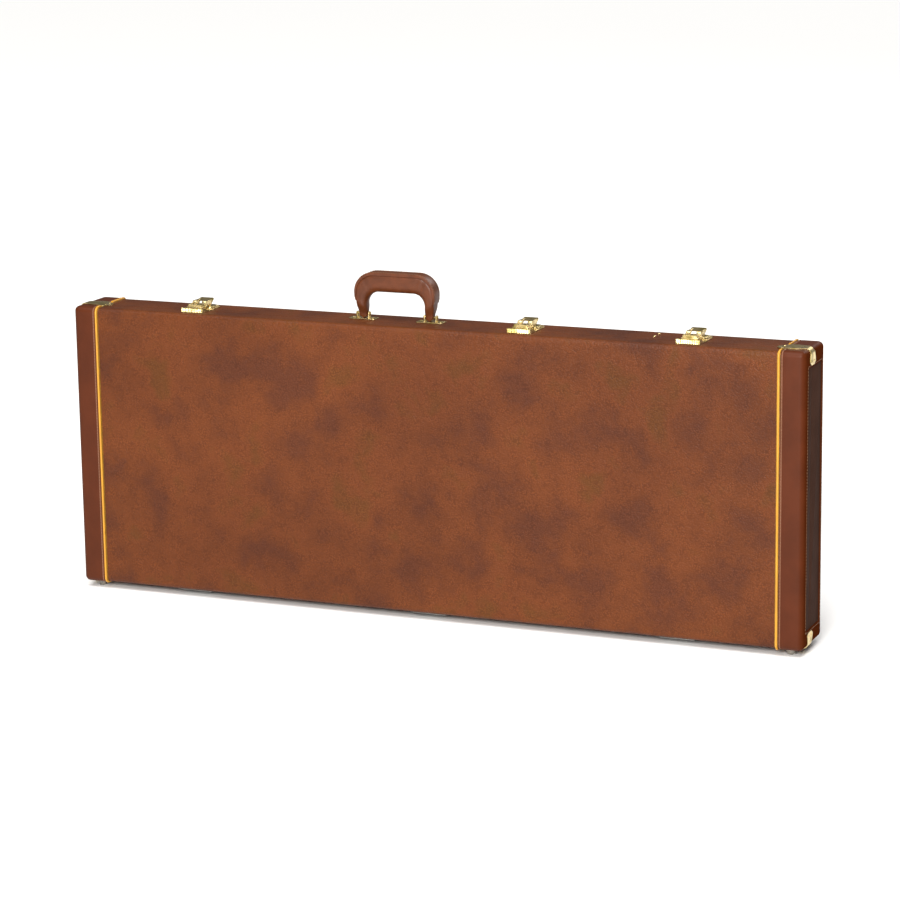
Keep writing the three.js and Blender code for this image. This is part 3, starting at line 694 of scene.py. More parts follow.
def build_stitching():
    """The folded, stitched edge of each cap beside the piping, and the seams round the end panels."""
    pitch, thread = size("stitch_pitch"), size("thread")
    welt = size("edge_welt")
    section = rectangle(-welt / 2, welt / 2, -0.8, 0.45, 0.5)
    guard = box_mm("lid_seam_guard_top_right")
    beside_guard = guard[1][1] - guard[0][1] + 0.3
    for half in HALVES:
        flap = flap_of(half)
        for side, sign in SIDES.items():
            across = np.array([1.0, 0, 0])
            x = CAP_START + welt / 2 + 1.4
            path = edge_path(half, sign, x, STITCHED_DIP - 0.3, beside_guard)
            up = outward(path, across)
            make_piece(f"{half}_folded_edge_{side}", [sweep(path, across, up, section)],
                folded_cloth_edge, half)
            sewn = stitches(path + up * 0.45, up, pitch, 0.72 * pitch, thread / 2)
            row = half_rows(half, flap - 2.6, size("upright_flap") - 2.6, 2.0, flats=30)[0]
            seam = at_x(sign * HALF_LENGTH, row)
            around = stitches(seam, np.array([sign, 0.0, 0]), pitch, 0.72 * pitch, thread / 2)
            make_piece(f"{half}_stitches_{side}", [sewn, around], waxed_thread, half)


def build_piping():
    """A round cord with a flat flange on the cover's side. Beside the guards it dips under them."""
    low, high = box_mm("lid_piping_right")
    radius = (high[0] - low[0]) / 2
    x = (high[0] + low[0]) / 2
    guard = box_mm("lid_seam_guard_top_right")
    beside_guard = guard[1][1] - guard[0][1] - 2
    flange = size("piping_flange")
    flat = rectangle(-flange / 2, flange / 2, -0.5, 0.35, 0.3)
    across = np.array([1.0, 0, 0])
    inset = FACES["body"] - (box_mm("body_piping_right")[1][1] - radius)
    for half in HALVES:
        for side, sign in SIDES.items():
            path = edge_path(half, sign, x, inset, beside_guard)
            up = outward(path, across)
            rise = np.abs(path[:, 1] - path[0, 1]) + 1e3 * (path[:, 2] < MIDDLE_Z)
            dipped = path - up * (3.0 * (1 - smooth_step(rise / 9)))[:, None]
            beside = edge_path(half, sign, x - radius - 0.35 * flange, COVER_INSET, beside_guard + 2)
            make_piece(f"{half}_golden_piping_{side}",
                [sweep(dipped, across, up, circle(radius - 0.25))], extruded_pvc_cord, half,
                [f"{half}_piping_{side}"])
            make_piece(f"{half}_piping_flange_{side}",
                [sweep(beside, across, outward(beside, across), flat)], pvc_flange, half)


def loop_rows(low, high, inset, radius, turns=7, flats=10):
    """Rows of closed rounded-rectangle loops in (x, z), each drawn in by its inset."""
    values = [np.atleast_1d(np.asarray(v, float)) for v in (inset, radius)]
    inset, radius = (v[:, None] for v in np.broadcast_arrays(*values))
    turn = quarter(turns)[None]
    arcs = []
    for x, z, x_sign, z_sign, start in ((high[0], low[1], 1, -1, -0.5), (high[0], high[1], 1, 1, 0.0),
            (low[0], high[1], -1, 1, 0.5), (low[0], low[1], -1, -1, 1.0)):
        angle = turn + start * np.pi
        centre_x = x - x_sign * (inset + radius)
        centre_z = z - z_sign * (inset + radius)
        arc = [centre_x + radius * np.cos(angle), centre_z + radius * np.sin(angle)]
        arcs.append(np.stack(arc, -1))
    share = np.linspace(0, 1, flats + 2)[None, 1:-1, None]
    parts = []
    for arc, following in zip(arcs, arcs[1:] + arcs[:1]):
        leap = following[:, :1] - arc[:, -1:]
        parts += [arc, arc[:, -1:] + leap * share]
    return np.concatenate(parts, axis=1)


def loops(low, high, profile, corner, least=1.0):
    """Points of rounded-rectangle loops, one for each (inset, y) of a profile."""
    inset, y = np.asarray(profile, float).T
    rings = loop_rows(low, high, inset, np.maximum(corner - inset, least))
    return at_y(y[:, None], rings)


def build_rim_bindings():
    """Leathercloth turned over each plywood rim and glued down inside: an L-shaped section carried
    round the case's outline."""
    section = [(2.1, 0.6), (2.3, -0.1), (7.7, -0.1), (8.2, 0.1), (8.35, 0.6), (8.35, 7), (8.1, 7),
        (8.0, 0.9)]
    low, high = (-HALF_LENGTH, UNDERSIDE), (HALF_LENGTH, TOP)
    for half in HALVES:
        rim = RIMS[half]
        inwards = np.sign(FACES[half] - rim)
        profile = [(inset, rim + inwards * depth) for inset, depth in section]
        points = loops(low, high, profile, size("corner_radius"))
        make_piece(f"{half}_rim_binding", [grid(points, wrap_rows=True, wrap_columns=True)],
            smooth_leathercloth, half)


# ---- Brass guards over the seam ----
GUARD_TIP = 5.0  # how far a guard's pointed tip reaches past its flat, over the piping's path
GUARD_SHEET = 1.3
GUARD_LIFT = 0.3 + GUARD_SHEET / 2  # from the case's surface to the middle of the sheet


def guard_surfaces(half, end, side):
    """A bent strip: its path is a straight leg, a quarter circle and a second leg in the (x, z) plane.
    Its edge at the seam is straight. The other edge draws in towards both tips and round the corner."""
    low, high = box_mm(f"{half}_seam_guard_{end}_{side}")
    sign, end_sign = SIDES[side], 1 if end == "top" else -1
    corner = size("corner_radius") + GUARD_LIFT
    surface_x, surface_z = HALF_LENGTH + GUARD_LIFT, (TOP - UNDERSIDE) / 2 + GUARD_LIFT
    leg = high[0] - low[0] - 2 + (GUARD_TIP if end == "top" else 0)
    drop = high[2] - low[2] - 2
    turn = quarter(10)
    level = surface_x - leg + (leg - corner) * np.linspace(0, 1, 14)[:-1]
    x = np.concatenate([level, surface_x - corner * (1 - np.sin(turn)), np.full(8, surface_x)])
    fall = surface_z - corner - (drop - corner) * np.linspace(0, 1, 9)[1:]
    z = np.concatenate([np.full(13, surface_z), surface_z - corner * (1 - np.cos(turn)), fall])
    if end == "top":
        z = z - 1.4 * smooth_step((CAP_START + 3 - x) / 8)
    path = np.stack([sign * x, np.full_like(x, RIMS[half]), MIDDLE_Z + end_sign * z], -1)
    run = distances(path)
    width = high[1] - low[1]
    tip = 0.35 + 0.65 * smooth_step(run / (GUARD_TIP + 6))
    foot = 0.5 + 0.5 * smooth_step((run[-1] - run) / 5)
    bend_at = run[len(level) + 4]
    waist = 1 - 0.42 * np.exp(-(((run - bend_at) / 15) ** 2))
    across = width * np.minimum(tip, foot) * waist
    half_sheet = GUARD_SHEET / 2
    base = rectangle(0, 1, -half_sheet, half_sheet, 0.1)
    section = base * np.stack([across, np.ones(len(across))], -1)[:, None]
    inwards = np.array([0, np.sign(FACES[half] - RIMS[half]), 0])
    flat = unit(np.cross(np.gradient(path, axis=0), inwards))
    flat = flat * np.sign((flat * (path - [0, RIMS[half], MIDDLE_Z])).sum(-1, keepdims=True))
    strip = sweep(path, inwards, flat, section)
    middle_y = RIMS[half] + inwards[1] * width * 0.45
    top_x = sign * (surface_x - leg + 6 + (GUARD_TIP / 2 if end == "top" else 0))
    height = MIDDLE_Z + end_sign * (np.interp(abs(top_x), x[:20], z[:20]) + half_sheet)
    top_rivet = rivet((top_x, middle_y, height), "z", 2.0, 0.9 * end_sign)
    side_z = MIDDLE_Z + end_sign * (surface_z - drop + 6)
    side_rivet = rivet((sign * (surface_x + half_sheet), middle_y, side_z), "x", 2.0, 0.9 * sign)
    return [strip, top_rivet, side_rivet]


def build_guards():
    for half in HALVES:
        for end in ("top", "bottom"):
            for side in SIDES:
                make_piece(f"{half}_brass_guard_{end}_{side}", guard_surfaces(half, end, side),
                    plated_brass, half, [f"{half}_seam_guard_{end}_{side}"])


# ---- Latches ----
CLAW_PIN = np.array([7.0, 1.0])  # from a lever's pivot to its claw's, along Y and Z


def build_keeper(spot):
    """A pressed lip: its (y, z) profile carried along X, with the front wall moved in and out by a
    cosine of the place along X, which makes the ribs."""
    low, high = box_mm(f"latch_keeper_{spot}")
    front = low[1] + 3
    z0, z1 = low[2], high[2]
    profile = np.array([[low[1], z0], [low[1], z0 + 0.6], [low[1] + 0.1, z0 + 1.2],
        [low[1] + 0.3, z1 - 1.2], [low[1] + 0.9, z1 - 0.3], [low[1] + 1.8, z1], [front + 4, z1],
        [front + 5.2, z1 - 0.8], [high[1] - 5, z0 + 2.6], [high[1], z0 + 2.4], [high[1], z0]])
    ribbed = np.array([0, 0.2, 1, 1, 0.6, 0, 0, 0, 0, 0, 0])
    x = np.linspace(low[0], high[0], 1 + 8 * int((high[0] - low[0]) / size("rib_pitch")))
    wave = 0.5 - 0.5 * np.cos(2 * np.pi * (x - low[0]) / size("rib_pitch"))
    inside = (np.abs(x - (low[0] + high[0]) / 2) < (high[0] - low[0]) / 2 - 1.6) * 1.0
    points = at_x(x[:, None], profile)
    points[..., 1] += 0.4 * (wave * inside)[:, None] * ribbed[None]
    make_piece(f"latch_ribbed_keeper_{spot}", [grid(points, wrap_columns=True, ends=True)], plated_brass,
        "lid", [f"latch_keeper_{spot}"], bevel=0.2)


def ear_outline(y, z, radius, foot, widen=0.0):
    """A (y, z) outline of an ear: a half circle over an eye, with straight sides down to its foot."""
    turn = np.linspace(0, np.pi, 13)
    arc = np.stack([y + radius * np.cos(turn), z + radius * np.sin(turn)], -1)
    return np.concatenate([[[y + radius + widen, foot]], arc, [[y - radius - widen, foot]]])


def build_base(spot):
    """Base plate with a rounded back, two side rails, a low pressed hump between them and two ears."""
    low, high = box_mm(f"latch_base_{spot}")
    lever_low, lever_high = box_mm(f"latch_lever_{spot}")
    pin_low, pin_high = box_mm(f"latch_pin_{spot}")
    x, z0 = (low[0] + high[0]) / 2, low[2]
    _, pivot_y, pivot_z = (pin_low + pin_high) / 2
    corners = [[low[0], low[1]], [high[0], low[1]], [high[0], high[1]], [low[0], high[1]]]
    plate = prism(rounded(corners, [1, 1, 7, 7]), z0, z0 + 1.5, 0.35, "z")
    rail = rounded([[low[1] + 8, z0 + 0.4], [high[1] - 6, z0 + 0.4], [high[1] - 6, z0 + 2.2],
        [high[1] - 10, z0 + 5.1], [low[1] + 13, z0 + 5.1], [low[1] + 8, z0 + 2.5]],
        [0.4, 0.4, 1, 3, 2.5, 0.8])
    rails = [prism(rail, edge - 0.9, edge + 0.9, 0.45, "x") for edge in (low[0] + 2, high[0] - 2)]
    hump_profile = [(0, z0 + 0.5), (0, z0 + 2.2), (0.7, z0 + 3.6), (2.2, z0 + 4.4), (4.5, z0 + 4.7),
        (7.5, z0 + 4.9)]
    hump_low, hump_high = (x - 17, low[1] + 14), (x + 17, high[1] - 2)
    inset, level = np.array(hump_profile).T
    rings = loop_rows(hump_low, hump_high, inset, np.maximum(7 - inset, 1), flats=3)
    hump = np.stack(np.broadcast_arrays(rings[..., 0], rings[..., 1], level[:, None]), -1)
    hump = grid(hump, wrap_columns=True, ends=True)
    ear = ear_outline(pivot_y, pivot_z, 3.0, z0 + 0.5)
    gap = (lever_high[0] - lever_low[0]) / 2 + 0.4
    ears = both_sides(ear, x, gap, gap + 1.5, 0.3)
    make_piece(f"latch_pressed_base_{spot}", [plate, *rails, hump, *ears], plated_brass, "body",
        [f"latch_base_{spot}"])
    half_grip = (pin_high[0] - pin_low[0]) / 2 - 1
    make_piece(f"latch_headed_pin_{spot}", [pin(x, half_grip, pivot_y, pivot_z, 1.5, 1.0, 2.4)],
        plated_brass, "body", [f"latch_pin_{spot}"])


def build_lever(spot):
    """A pressed lever: a sheet whose cross-section is dished in the middle and turned down at both
    sides, carried back along Y and curled up into the finger lip, with a cheek at each side."""
    low, high = box_mm(f"latch_lever_{spot}")
    x, half = (low[0] + high[0]) / 2, (high[0] - low[0]) / 2
    pivot_y, pivot_z = pivot = middle_of(f"latch_pin_{spot}")[1:]
    run = np.array([[11, 8.2], [12, 8.8], [15, 9.0], [20, 9.0], [24, 8.9], [26.5, 9.0], [28.4, 9.3],
        [30, 9.9]])
    flare = np.array([1, 1, 1, 1, 1.03, 1.06, 1.04, 0.9])[:, None]
    flange = np.array([1, 1, 1, 1, 0.9, 0.45, 0.12, 0])
    dish = np.array([0.2, 0.8, 1, 1, 0.8, 0.3, 0, 0])
    across = np.array([-12, -11.9, -11.7, -11, -9.6, -8.8, -8.2, -4, 0, 4, 8.2, 8.8, 9.6, 11, 11.7, 11.9,
        12]) / 12 * half
    down = np.array([4.6, 1.6, 0.6, 0.1, 0, 0, 0, 0, 0, 0, 0, 0, 0, 0.1, 0.6, 1.6, 4.6])
    hollow = np.array([0, 0, 0, 0, 0, 0.4, 1, 1, 1, 1, 1, 0.4, 0, 0, 0, 0, 0])
    z = run[:, 1:] - flange[:, None] * down - 1.1 * dish[:, None] * hollow
    points = np.stack(np.broadcast_arrays(x + across * flare, pivot_y + run[:, :1], pivot_z + z), -1)
    sheet = walled(points, 1.1, np.array([x, pivot_y + 16, pivot_z]))
    cheek = rounded([[-2.6, -3], [18, -0.8], [25.5, 4.6], [26.6, 8.6], [24, 8.3], [2.4, 8.1],
        [-0.6, 6.4], [-3, 2]], [2, 3, 2, 0.4, 1, 1.2, 1.5, 2]) + pivot
    hood = rounded([[-0.2, 5.4], [1.2, 7.9], [12, 7.9], [12, 8.9], [0.7, 8.9], [-1.2, 6.2]], 0.4) + pivot
    hoods = both_sides(hood, x, 5, half, 0.3)
    cheeks = both_sides(cheek, x, half - 1.7, half, 0.3)
    stubs = both_sides(circle(1.3) + pivot + CLAW_PIN, x, 4.2, half, 0.2)
    make_piece(f"latch_finger_lever_{spot}", [sheet, *cheeks, *hoods, *stubs], plated_brass,
        f"lever_{spot}", [f"latch_lever_{spot}"])


def build_claw(spot):
    """A two-stepped block over the keeper and a tail back to its pin, all with rolled edges."""
    low, high = box_mm(f"latch_claw_{spot}")
    x = (low[0] + high[0]) / 2
    pivot_y, pivot_z = pivot = middle_of(f"latch_pin_{spot}")[1:]
    claw_y, claw_z = pivot + CLAW_PIN
    back = claw_y - 10.5
    half, upper = (high[0] - low[0]) / 2, 11.8
    steps = [prism(rectangle(x - half, x + half, low[1], back, 1.2), low[2], low[2] + 4.3, 0.7, "z"),
        prism(rectangle(x - upper, x + upper, low[1] + 1.7, back, 1.2), low[2] + 3.4, low[2] + 6.9, 0.8,
        "z")]
    rim = [rectangle(x - upper, x + upper, low[1] + 1.7, low[1] + 4.6, 1.1),
        *(rectangle(*sorted([x + s * upper, x + s * (upper - 3)]), low[1] + 1.7, back, 1.1)
        for s in (-1, 1))]
    steps += [prism(outline, low[2] + 6.2, low[2] + 8, 0.6, "z") for outline in rim]
    turn = np.linspace(1.25 * np.pi, 2.5 * np.pi, 12)
    eye = np.stack([claw_y + 3 * np.cos(turn), claw_z + 3 * np.sin(turn)], -1)
    tail = np.concatenate([[[back - 1, pivot_z + 2], [pivot_y + 3, pivot_z + 2]], eye,
        [[back - 1, claw_z + 3]]])
    make_piece(f"latch_hooked_claw_{spot}", [*steps, prism(tail, x - 4, x + 4, 0.3, "x")], plated_brass,
        f"claw_{spot}", [f"latch_claw_{spot}"])


def build_latches():
    for spot in SPOTS:
        build_keeper(spot)
        build_base(spot)
        build_lever(spot)
        build_claw(spot)


# ---- Handle ----
HANDLE_LEG = 17.6  # breadth of a leg, seen from the front
HANDLE_STRIP = 3.0  # thickness of the strip round the outer edge


def handle_levels():
    """Middle of the handle in x and y, the pivots' height and spacing, the grip's lowest and highest
    points and half its depth."""
    low, high = box_mm("handle_grip")
    left, right = middle_of("handle_pin_left"), middle_of("handle_pin_right")
    x, y, _ = (low + high) / 2
    return x, y, left[2], right[0] - left[0], low[2], high[2], (high[1] - low[1]) / 2


def arch(half_width, foot, crown, radius, x):
    """An arch in (x, z) from the left foot to the right: a leg, a quarter circle, a span, and the same
    mirrored, with the same number of points in each stretch whatever the size."""
    turn = quarter(15)
    rise = np.linspace(foot, crown - radius, 20)[:-1]
    leg = np.stack([np.full(19, -half_width), rise], -1)
    bend = np.stack([-half_width + radius * (1 - np.cos(turn)), crown - radius * (1 - np.sin(turn))], -1)
    left = np.concatenate([leg, bend])
    span = np.linspace(left[-1, 0], -left[-1, 0], 26)[1:-1]
    middle = np.stack([span, np.full(len(span), crown)], -1)
    whole = np.concatenate([left, middle, left[::-1] * [-1, 1]])
    return whole + [x, 0]


def build_handle():
    """The grip lies between an inner and an outer arch: its section at each step is a superellipse as
    tall as the two are apart. Creases are dips of a bell curve where the legs meet the grip."""
    x, y, pivot_z, spacing, foot, crown, depth = handle_levels()
    inner = arch(spacing / 2 - HANDLE_LEG / 2, foot, TOP + 43.5, 20, x)
    outer = arch(spacing / 2 + HANDLE_LEG / 2, foot, crown - HANDLE_STRIP, 31, x)
    tuck = 3 * (1 - smooth_step((outer[:, 1] - pivot_z - 1) / 15))
    outer[:, 0] -= tuck * np.sign(outer[:, 0] - x)
    middle, reach = (inner + outer) / 2, np.linalg.norm(outer - inner, axis=1) / 2
    radial = unit(outer - inner)
    run = distances(middle)
    run_left = np.minimum(run, run[-1] - run)
    creases = ((run[28], 1.8, 0.07), (run[31], 2.0, 0.04), (run[19], 4, 0.02))
    crease = sum(np.exp(-(((run_left - at) / wide) ** 2)) * deep for at, wide, deep in creases)
    end = np.sqrt(np.clip(run_left / 4, 0.02, 1))
    half_depth = (6.2 + (depth - 6.2) * smooth_step((run_left - 6) / 20)) * (1 - crease) * (
        0.6 + 0.4 * end)
    reach = reach * (1 - 0.3 * crease) * end
    turn = np.linspace(0, 2 * np.pi, 32, endpoint=False)
    power = np.where(np.cos(turn) > 0, 2 / 6, 2 / 2.2)
    up = np.sign(np.cos(turn)) * np.abs(np.cos(turn)) ** power
    side = np.sign(np.sin(turn)) * np.abs(np.sin(turn)) ** power
    level = middle[:, None] + radial[:, None] * (reach[:, None] * up)[..., None]
    points = at_y(y + half_depth[:, None] * side, level)
    make_piece("handle_leather_grip", [grid(points, wrap_columns=True, ends=True)], waxed_leather,
        "handle", ["handle_grip"])

    keep = middle[:, 1] > pivot_z + 15
    rim, out = outer[keep], radial[keep]
    rim_path, out3 = at_y(y, rim), at_y(0.0, out)
    rim_run = distances(rim)
    from_end = np.minimum(rim_run, rim_run[-1] - rim_run)
    thick = HANDLE_STRIP * (0.3 + 0.7 * smooth_step(from_end / 5))
    section = rectangle(-depth, depth, -0.6, 1, [0.3, 0.3, 0.7, 0.7])
    sections = section[None] * np.stack([0.8 + 0.2 * smooth_step(from_end / 14), thick], -1)[:, None]
    make_piece("handle_outer_strip", [sweep(rim_path, np.array([0, 1.0, 0]), out3, sections)],
        waxed_leather, "handle")
    crest = rim_path + out3 * thick[:, None]
    lines = [crest + [0, s * (depth - 2.6), 0] for s in (-1, 1)]
    rows = [stitches(line, out3, 4.5, 3.3, size("thread") / 2) for line in lines]
    make_piece("handle_stitches", rows, waxed_thread, "handle")

    for side in SIDES:
        low, high = box_mm(f"handle_bracket_{side}")
        pin_low, pin_high = box_mm(f"handle_pin_{side}")
        bx = (low[0] + high[0]) / 2
        outline = rectangle(low[0], high[0], low[1], high[1], 2.5)
        plate = prism(outline, low[2], low[2] + 1.5, 0.45, "z")
        gap = HANDLE_LEG / 2 + 0.4
        ear = ear_outline(y, pivot_z, 3.6, low[2] + 0.6, 1.2)
        ears = both_sides(ear, bx, gap, gap + 1.6, 0.4)
        heads = [rivet((bx + s * 17, y, low[2] + 1.4), "z", 2.4, 1.1) for s in (-1, 1)]
        make_piece(f"handle_brass_bracket_{side}", [plate, *ears, *heads], plated_brass, "body",
            [f"handle_bracket_{side}"])
        half_grip = (pin_high[0] - pin_low[0]) / 2 - 1.2
        make_piece(f"handle_headed_pin_{side}", [pin(bx, half_grip, y, pivot_z, 1.6, 1.2, 2.8)],
            plated_brass, "body", [f"handle_pin_{side}"])


# ---- Feet, hinges and partition rivets ----
def build_feet():
    profile = [(0, 0), (2.6, 0), (3.0, 0.1), (4.6, 0.9), (5.7, 2.2), (6.2, 3.6), (6.2, 5.2), (7.4, 6.4),
        (8.2, 7.6), (8.4, 9.7), (0, 9.7)]
    for half in HALVES:
        for side in SIDES:
            low, high = box_mm(f"{half}_foot_{side}")
            centre = (*middle_of(f"{half}_foot_{side}")[:2], low[2])
            rise = (high[2] - low[2]) / 9.7
            turned = [(r, z * rise) for r, z in profile]
            make_piece(f"{half}_nickel_foot_{side}", [lathe(turned, centre, "z", 32)], polished_nickel,
                half, [f"{half}_foot_{side}"])


def rolled_knuckle(x0, x1, y, z, top, toward, radius=2.4):
    """A leaf's end rolled round the pin: a line at the leaf's level, then most of a circle round the
    pin, carried along X and given the sheet's thickness."""
    turn = np.linspace(np.pi / 2, np.pi / 2 + 1.6 * np.pi, 20)
    arc = np.stack([y + toward * radius * np.cos(turn), z + radius * np.sin(turn)], -1)
    lead = np.array([[y + toward * 9, top], [y + toward * 6, top], [y + toward * 3.5, top - 0.05]])
    path = np.concatenate([lead, arc])
    x = np.linspace(x0, x1, 4)[:, None]
    return walled(at_x(x, path), 1.0, np.array([(x0 + x1) / 2, y, z]))


def build_hinges():
    for spot in SPOTS:
        (start, *_), (end, *_) = box_mm(f"hinge_body_leaf_{spot}")
        third, x = (end - start) / 3, (start + end) / 2
        for half in HALVES:
            low, high = box_mm(f"hinge_{half}_leaf_{spot}")
            toward = np.sign(FACES[half] - RIMS[half])
            leaf_low, pivot_z = high[2] - 1.2, low[2] + 3
            near, far = SEAM + toward * 4.2, SEAM + toward * 28
            wide = 1.5 * third
            plate = prism(rectangle(x - wide, x + wide, *sorted([near, far]), 2.5), leaf_low, high[2],
                0.3, "z")
            spans = [(-0.5, 0.5)] if half == "lid" else [(-1.5, -0.53), (0.53, 1.5)]
            knuckles = [rolled_knuckle(x + a * third, x + b * third, SEAM, pivot_z, leaf_low, toward)
                for a, b in spans]
            screws = [rivet((x + place * third, (near + far) / 2 + toward * step, leaf_low + 0.1), "z",
                3.0, -0.9) for place, step in ((-1.1, -3), (0, 4), (1.1, -3))]
            surfaces = [plate, *knuckles, *screws]
            if half == "body":
                surfaces.append(pin(x, wide - 0.5, SEAM, pivot_z, 1.3, 0.6, 1.9))
            make_piece(f"hinge_rolled_{half}_leaf_{spot}", surfaces, zinc_plated_steel, half,
                [f"hinge_{half}_leaf_{spot}"])


def build_partition_rivets():
    """Two brass heads on the top, over the end of the compartment's partition."""
    x = box_mm("compartment_walls")[1][0] - 2
    top = COVER_HIGH[2]
    heads = [rivet((x, y, top), "z", 2.4, 1.2) for y in (SEAM + 25, SEAM + 46)]
    make_piece("partition_rivets", heads, plated_brass, "body")


# ---- Lining ----
def crowned_profile(back, face, edge, crown, reach):
    """(inset, y) from the back's rim, up a straight side and over a quarter-round edge, to a face that
    swells by the crown towards its middle, as the square of the distance left to go."""
    toward = np.sign(face - back)
    turn = quarter(7)
    t = np.linspace(0, 1, 10)[1:]
    side = [[0.6, back], [0, back + toward * 0.6]]
    over = np.stack([edge * (1 - np.cos(turn)), face - toward * edge * (1 - np.sin(turn))], -1)
    swell = np.stack([edge + (reach - edge) * t, face + toward * crown * (1 - (1 - t) ** 2)], -1)
    return np.concatenate([side, over, swell])


def plush_piece(name, surfaces, body, replaces):
    piece = make_piece(name, surfaces, crushed_plush, body, replaces, crease=60)
    return piece


def pad(node, name, body, face_side, edge, crown, corner):
    """A padded block in a node's box, crowned on its face."""
    low, high = box_mm(node)
    back, face = (high[1], low[1]) if face_side < 0 else (low[1], high[1])
    reach = (min(high[0] - low[0], high[2] - low[2]) / 2) - 0.5
    profile = crowned_profile(back, face, edge, crown, reach)
    points = loops((low[0], low[2]), (high[0], high[2]), profile, corner)
    return plush_piece(name, [grid(points, wrap_columns=True, ends=True)], body, [node])


def build_lid_lining():
    """A shallow tray: loops go up its outer wall, over a rounded lip, down inside and across a floor
    that swells a little towards its middle."""
    low, high = box_mm("lid_lining")
    floor_y = low[1] + 8
    wall = 6.0
    turn = np.linspace(0, np.pi, 9)
    lip = np.stack([wall / 2 * (1 - np.cos(turn)), high[1] - wall / 2 * (1 - np.sin(turn))], -1)
    t = np.linspace(0, 1, 12)[1:]
    reach = (high[2] - low[2]) / 2 - 0.5
    fillet = np.array([[wall + 0.2, floor_y + 5], [wall + 1.2, floor_y + 2], [wall + 4, floor_y + 0.3]])
    swell = np.stack([wall + 4 + (reach - wall - 4) * t, floor_y + 0.3 + 1.6 * (1 - (1 - t) ** 2)], -1)
    profile = np.concatenate([[[0, low[1]]], lip, fillet, swell])
    points = loops((low[0], low[2]), (high[0], high[2]), profile, 4)
    surface = grid(points, wrap_columns=True, ends=True)
    plush_piece("lid_plush_lining", [surface], "lid", ["lid_lining"])


# The well, in millimetres: the bouts as (distance along, half the width), then the neck and the head.
WELL_FROM_END = 38
BOUT_OUTLINE = [(0, 0), (10, 80), (52, 148), (130, 172), (215, 158), (290, 134), (350, 140), (402, 128),
    (430, 70), (446, 44)]
CHANNEL_HALF = 44
HEAD_HALF = 62
HEAD_SPAN = (360, 550)


def well_edge():
    """Half of the well's outline as (x, distance from the middle): a spline through the bouts, then the
    neck channel and the head well. It is sampled every two millimetres."""
    bouts = np.array(BOUT_OUTLINE, float) + [WELL_FROM_END - HALF_LENGTH, 0]
    padded_bouts = np.concatenate([2 * bouts[:1] - bouts[1:2], bouts, 2 * bouts[-1:] - bouts[-2:-1]])
    t = np.linspace(0, 1, 12, endpoint=False)[None, :, None]
    a, b, c, d = (padded_bouts[k : len(padded_bouts) - 3 + k, None] for k in range(4))
    curve = 0.5 * (2 * b + (c - a) * t + (2 * a - 5 * b + 4 * c - d) * t**2 + (3 * b - a - 3 * c + d)
        * t**3)
    start, end = HEAD_SPAN
    head = rounded([[start - 200, CHANNEL_HALF], [start - 14, CHANNEL_HALF], [start + 14, HEAD_HALF],
        [end - 20, HEAD_HALF], [end, HEAD_HALF - 24], [end, 0]], [0.5, 6, 6, 10, 10, 0.5], 8)
    points = np.concatenate([curve.reshape(-1, 2), bouts[-1:], head[head[:, 0] > start - 60]])
    points = points[points[:, 1] > -0.01]
    run = distances(points)
    place = np.linspace(0, run[-1], int(run[-1] / 2))
    return np.stack([np.interp(place, run, points[:, k]) for k in (0, 1)], -1)


def foam_surface(node, direction):
    """Foam between the well's edge and the plywood. Each row is a section from the well to the wall:
    up the well's side, over a soft edge, across a crowned face and down to the back. The wall's point
    is found along the line from the nearest point of the case's middle line through the well's edge."""
    low, high = box_mm(node)
    edge = well_edge()
    keep = (edge[:, 0] > low[0] - 0.01) & (edge[:, 0] < high[0] + 0.01)
    edge = edge[keep]
    middle = np.stack([np.clip(edge[:, 0], -400, 450), np.zeros(len(edge))], -1)
    ray = edge - middle
    reach_z = high[2] - MIDDLE_Z if direction > 0 else MIDDLE_Z - low[2]
    ends = np.where(ray[:, 0] < 0, -HALF_LENGTH + 8.5, HALF_LENGTH - 8.5)
    with np.errstate(divide="ignore", invalid="ignore"):
        to_end = np.where(np.abs(ray[:, 0]) > 1e-6, (ends - middle[:, 0]) / ray[:, 0], np.inf)
        to_side = np.where(ray[:, 1] > 1e-6, reach_z / ray[:, 1], np.inf)
    wall = middle + ray * np.minimum(to_end, to_side)[:, None]
    span = np.linalg.norm(wall - edge, axis=1)[:, None]
    along = (wall - edge) / span
    soft, hard = 7.0, 3.0
    turn = quarter(7)
    face, back = low[1], high[1]
    near = np.stack([soft * (1 - np.cos(turn)), face + soft * (1 - np.sin(turn))], -1)
    far = np.stack([hard * (1 - np.sin(turn)), face + hard * (1 - np.cos(turn))], -1)
    t = np.linspace(0, 1, 10)[1:-1]
    distance = np.concatenate([np.zeros((len(edge), 1)), np.broadcast_to(near[:, 0], (len(edge), 7)),
        soft + (span - soft - hard) * t, span - far[:, 0], span], axis=1)
    crown = face - 1.2 * np.sin(np.pi * t)
    y = np.concatenate([[back], near[:, 1], crown, far[:, 1], [back]])
    flat = edge[:, None] + along[:, None] * distance[..., None]
    flat = [0, MIDDLE_Z] + (flat + [0, 0.2]) * [1, direction]
    return grid(at_y(y, flat), wrap_columns=True, ends=True)


def build_foam():
    pad("back_lining", "back_plush_lining", "body", -1, 3, 1.5, 4)
    for node, direction in (("foam_hinge_side", -1), ("foam_body_upper", 1), ("foam_head_upper", 1)):
        plush_piece(f"plush_{node}", [foam_surface(node, direction)], "body", [node])


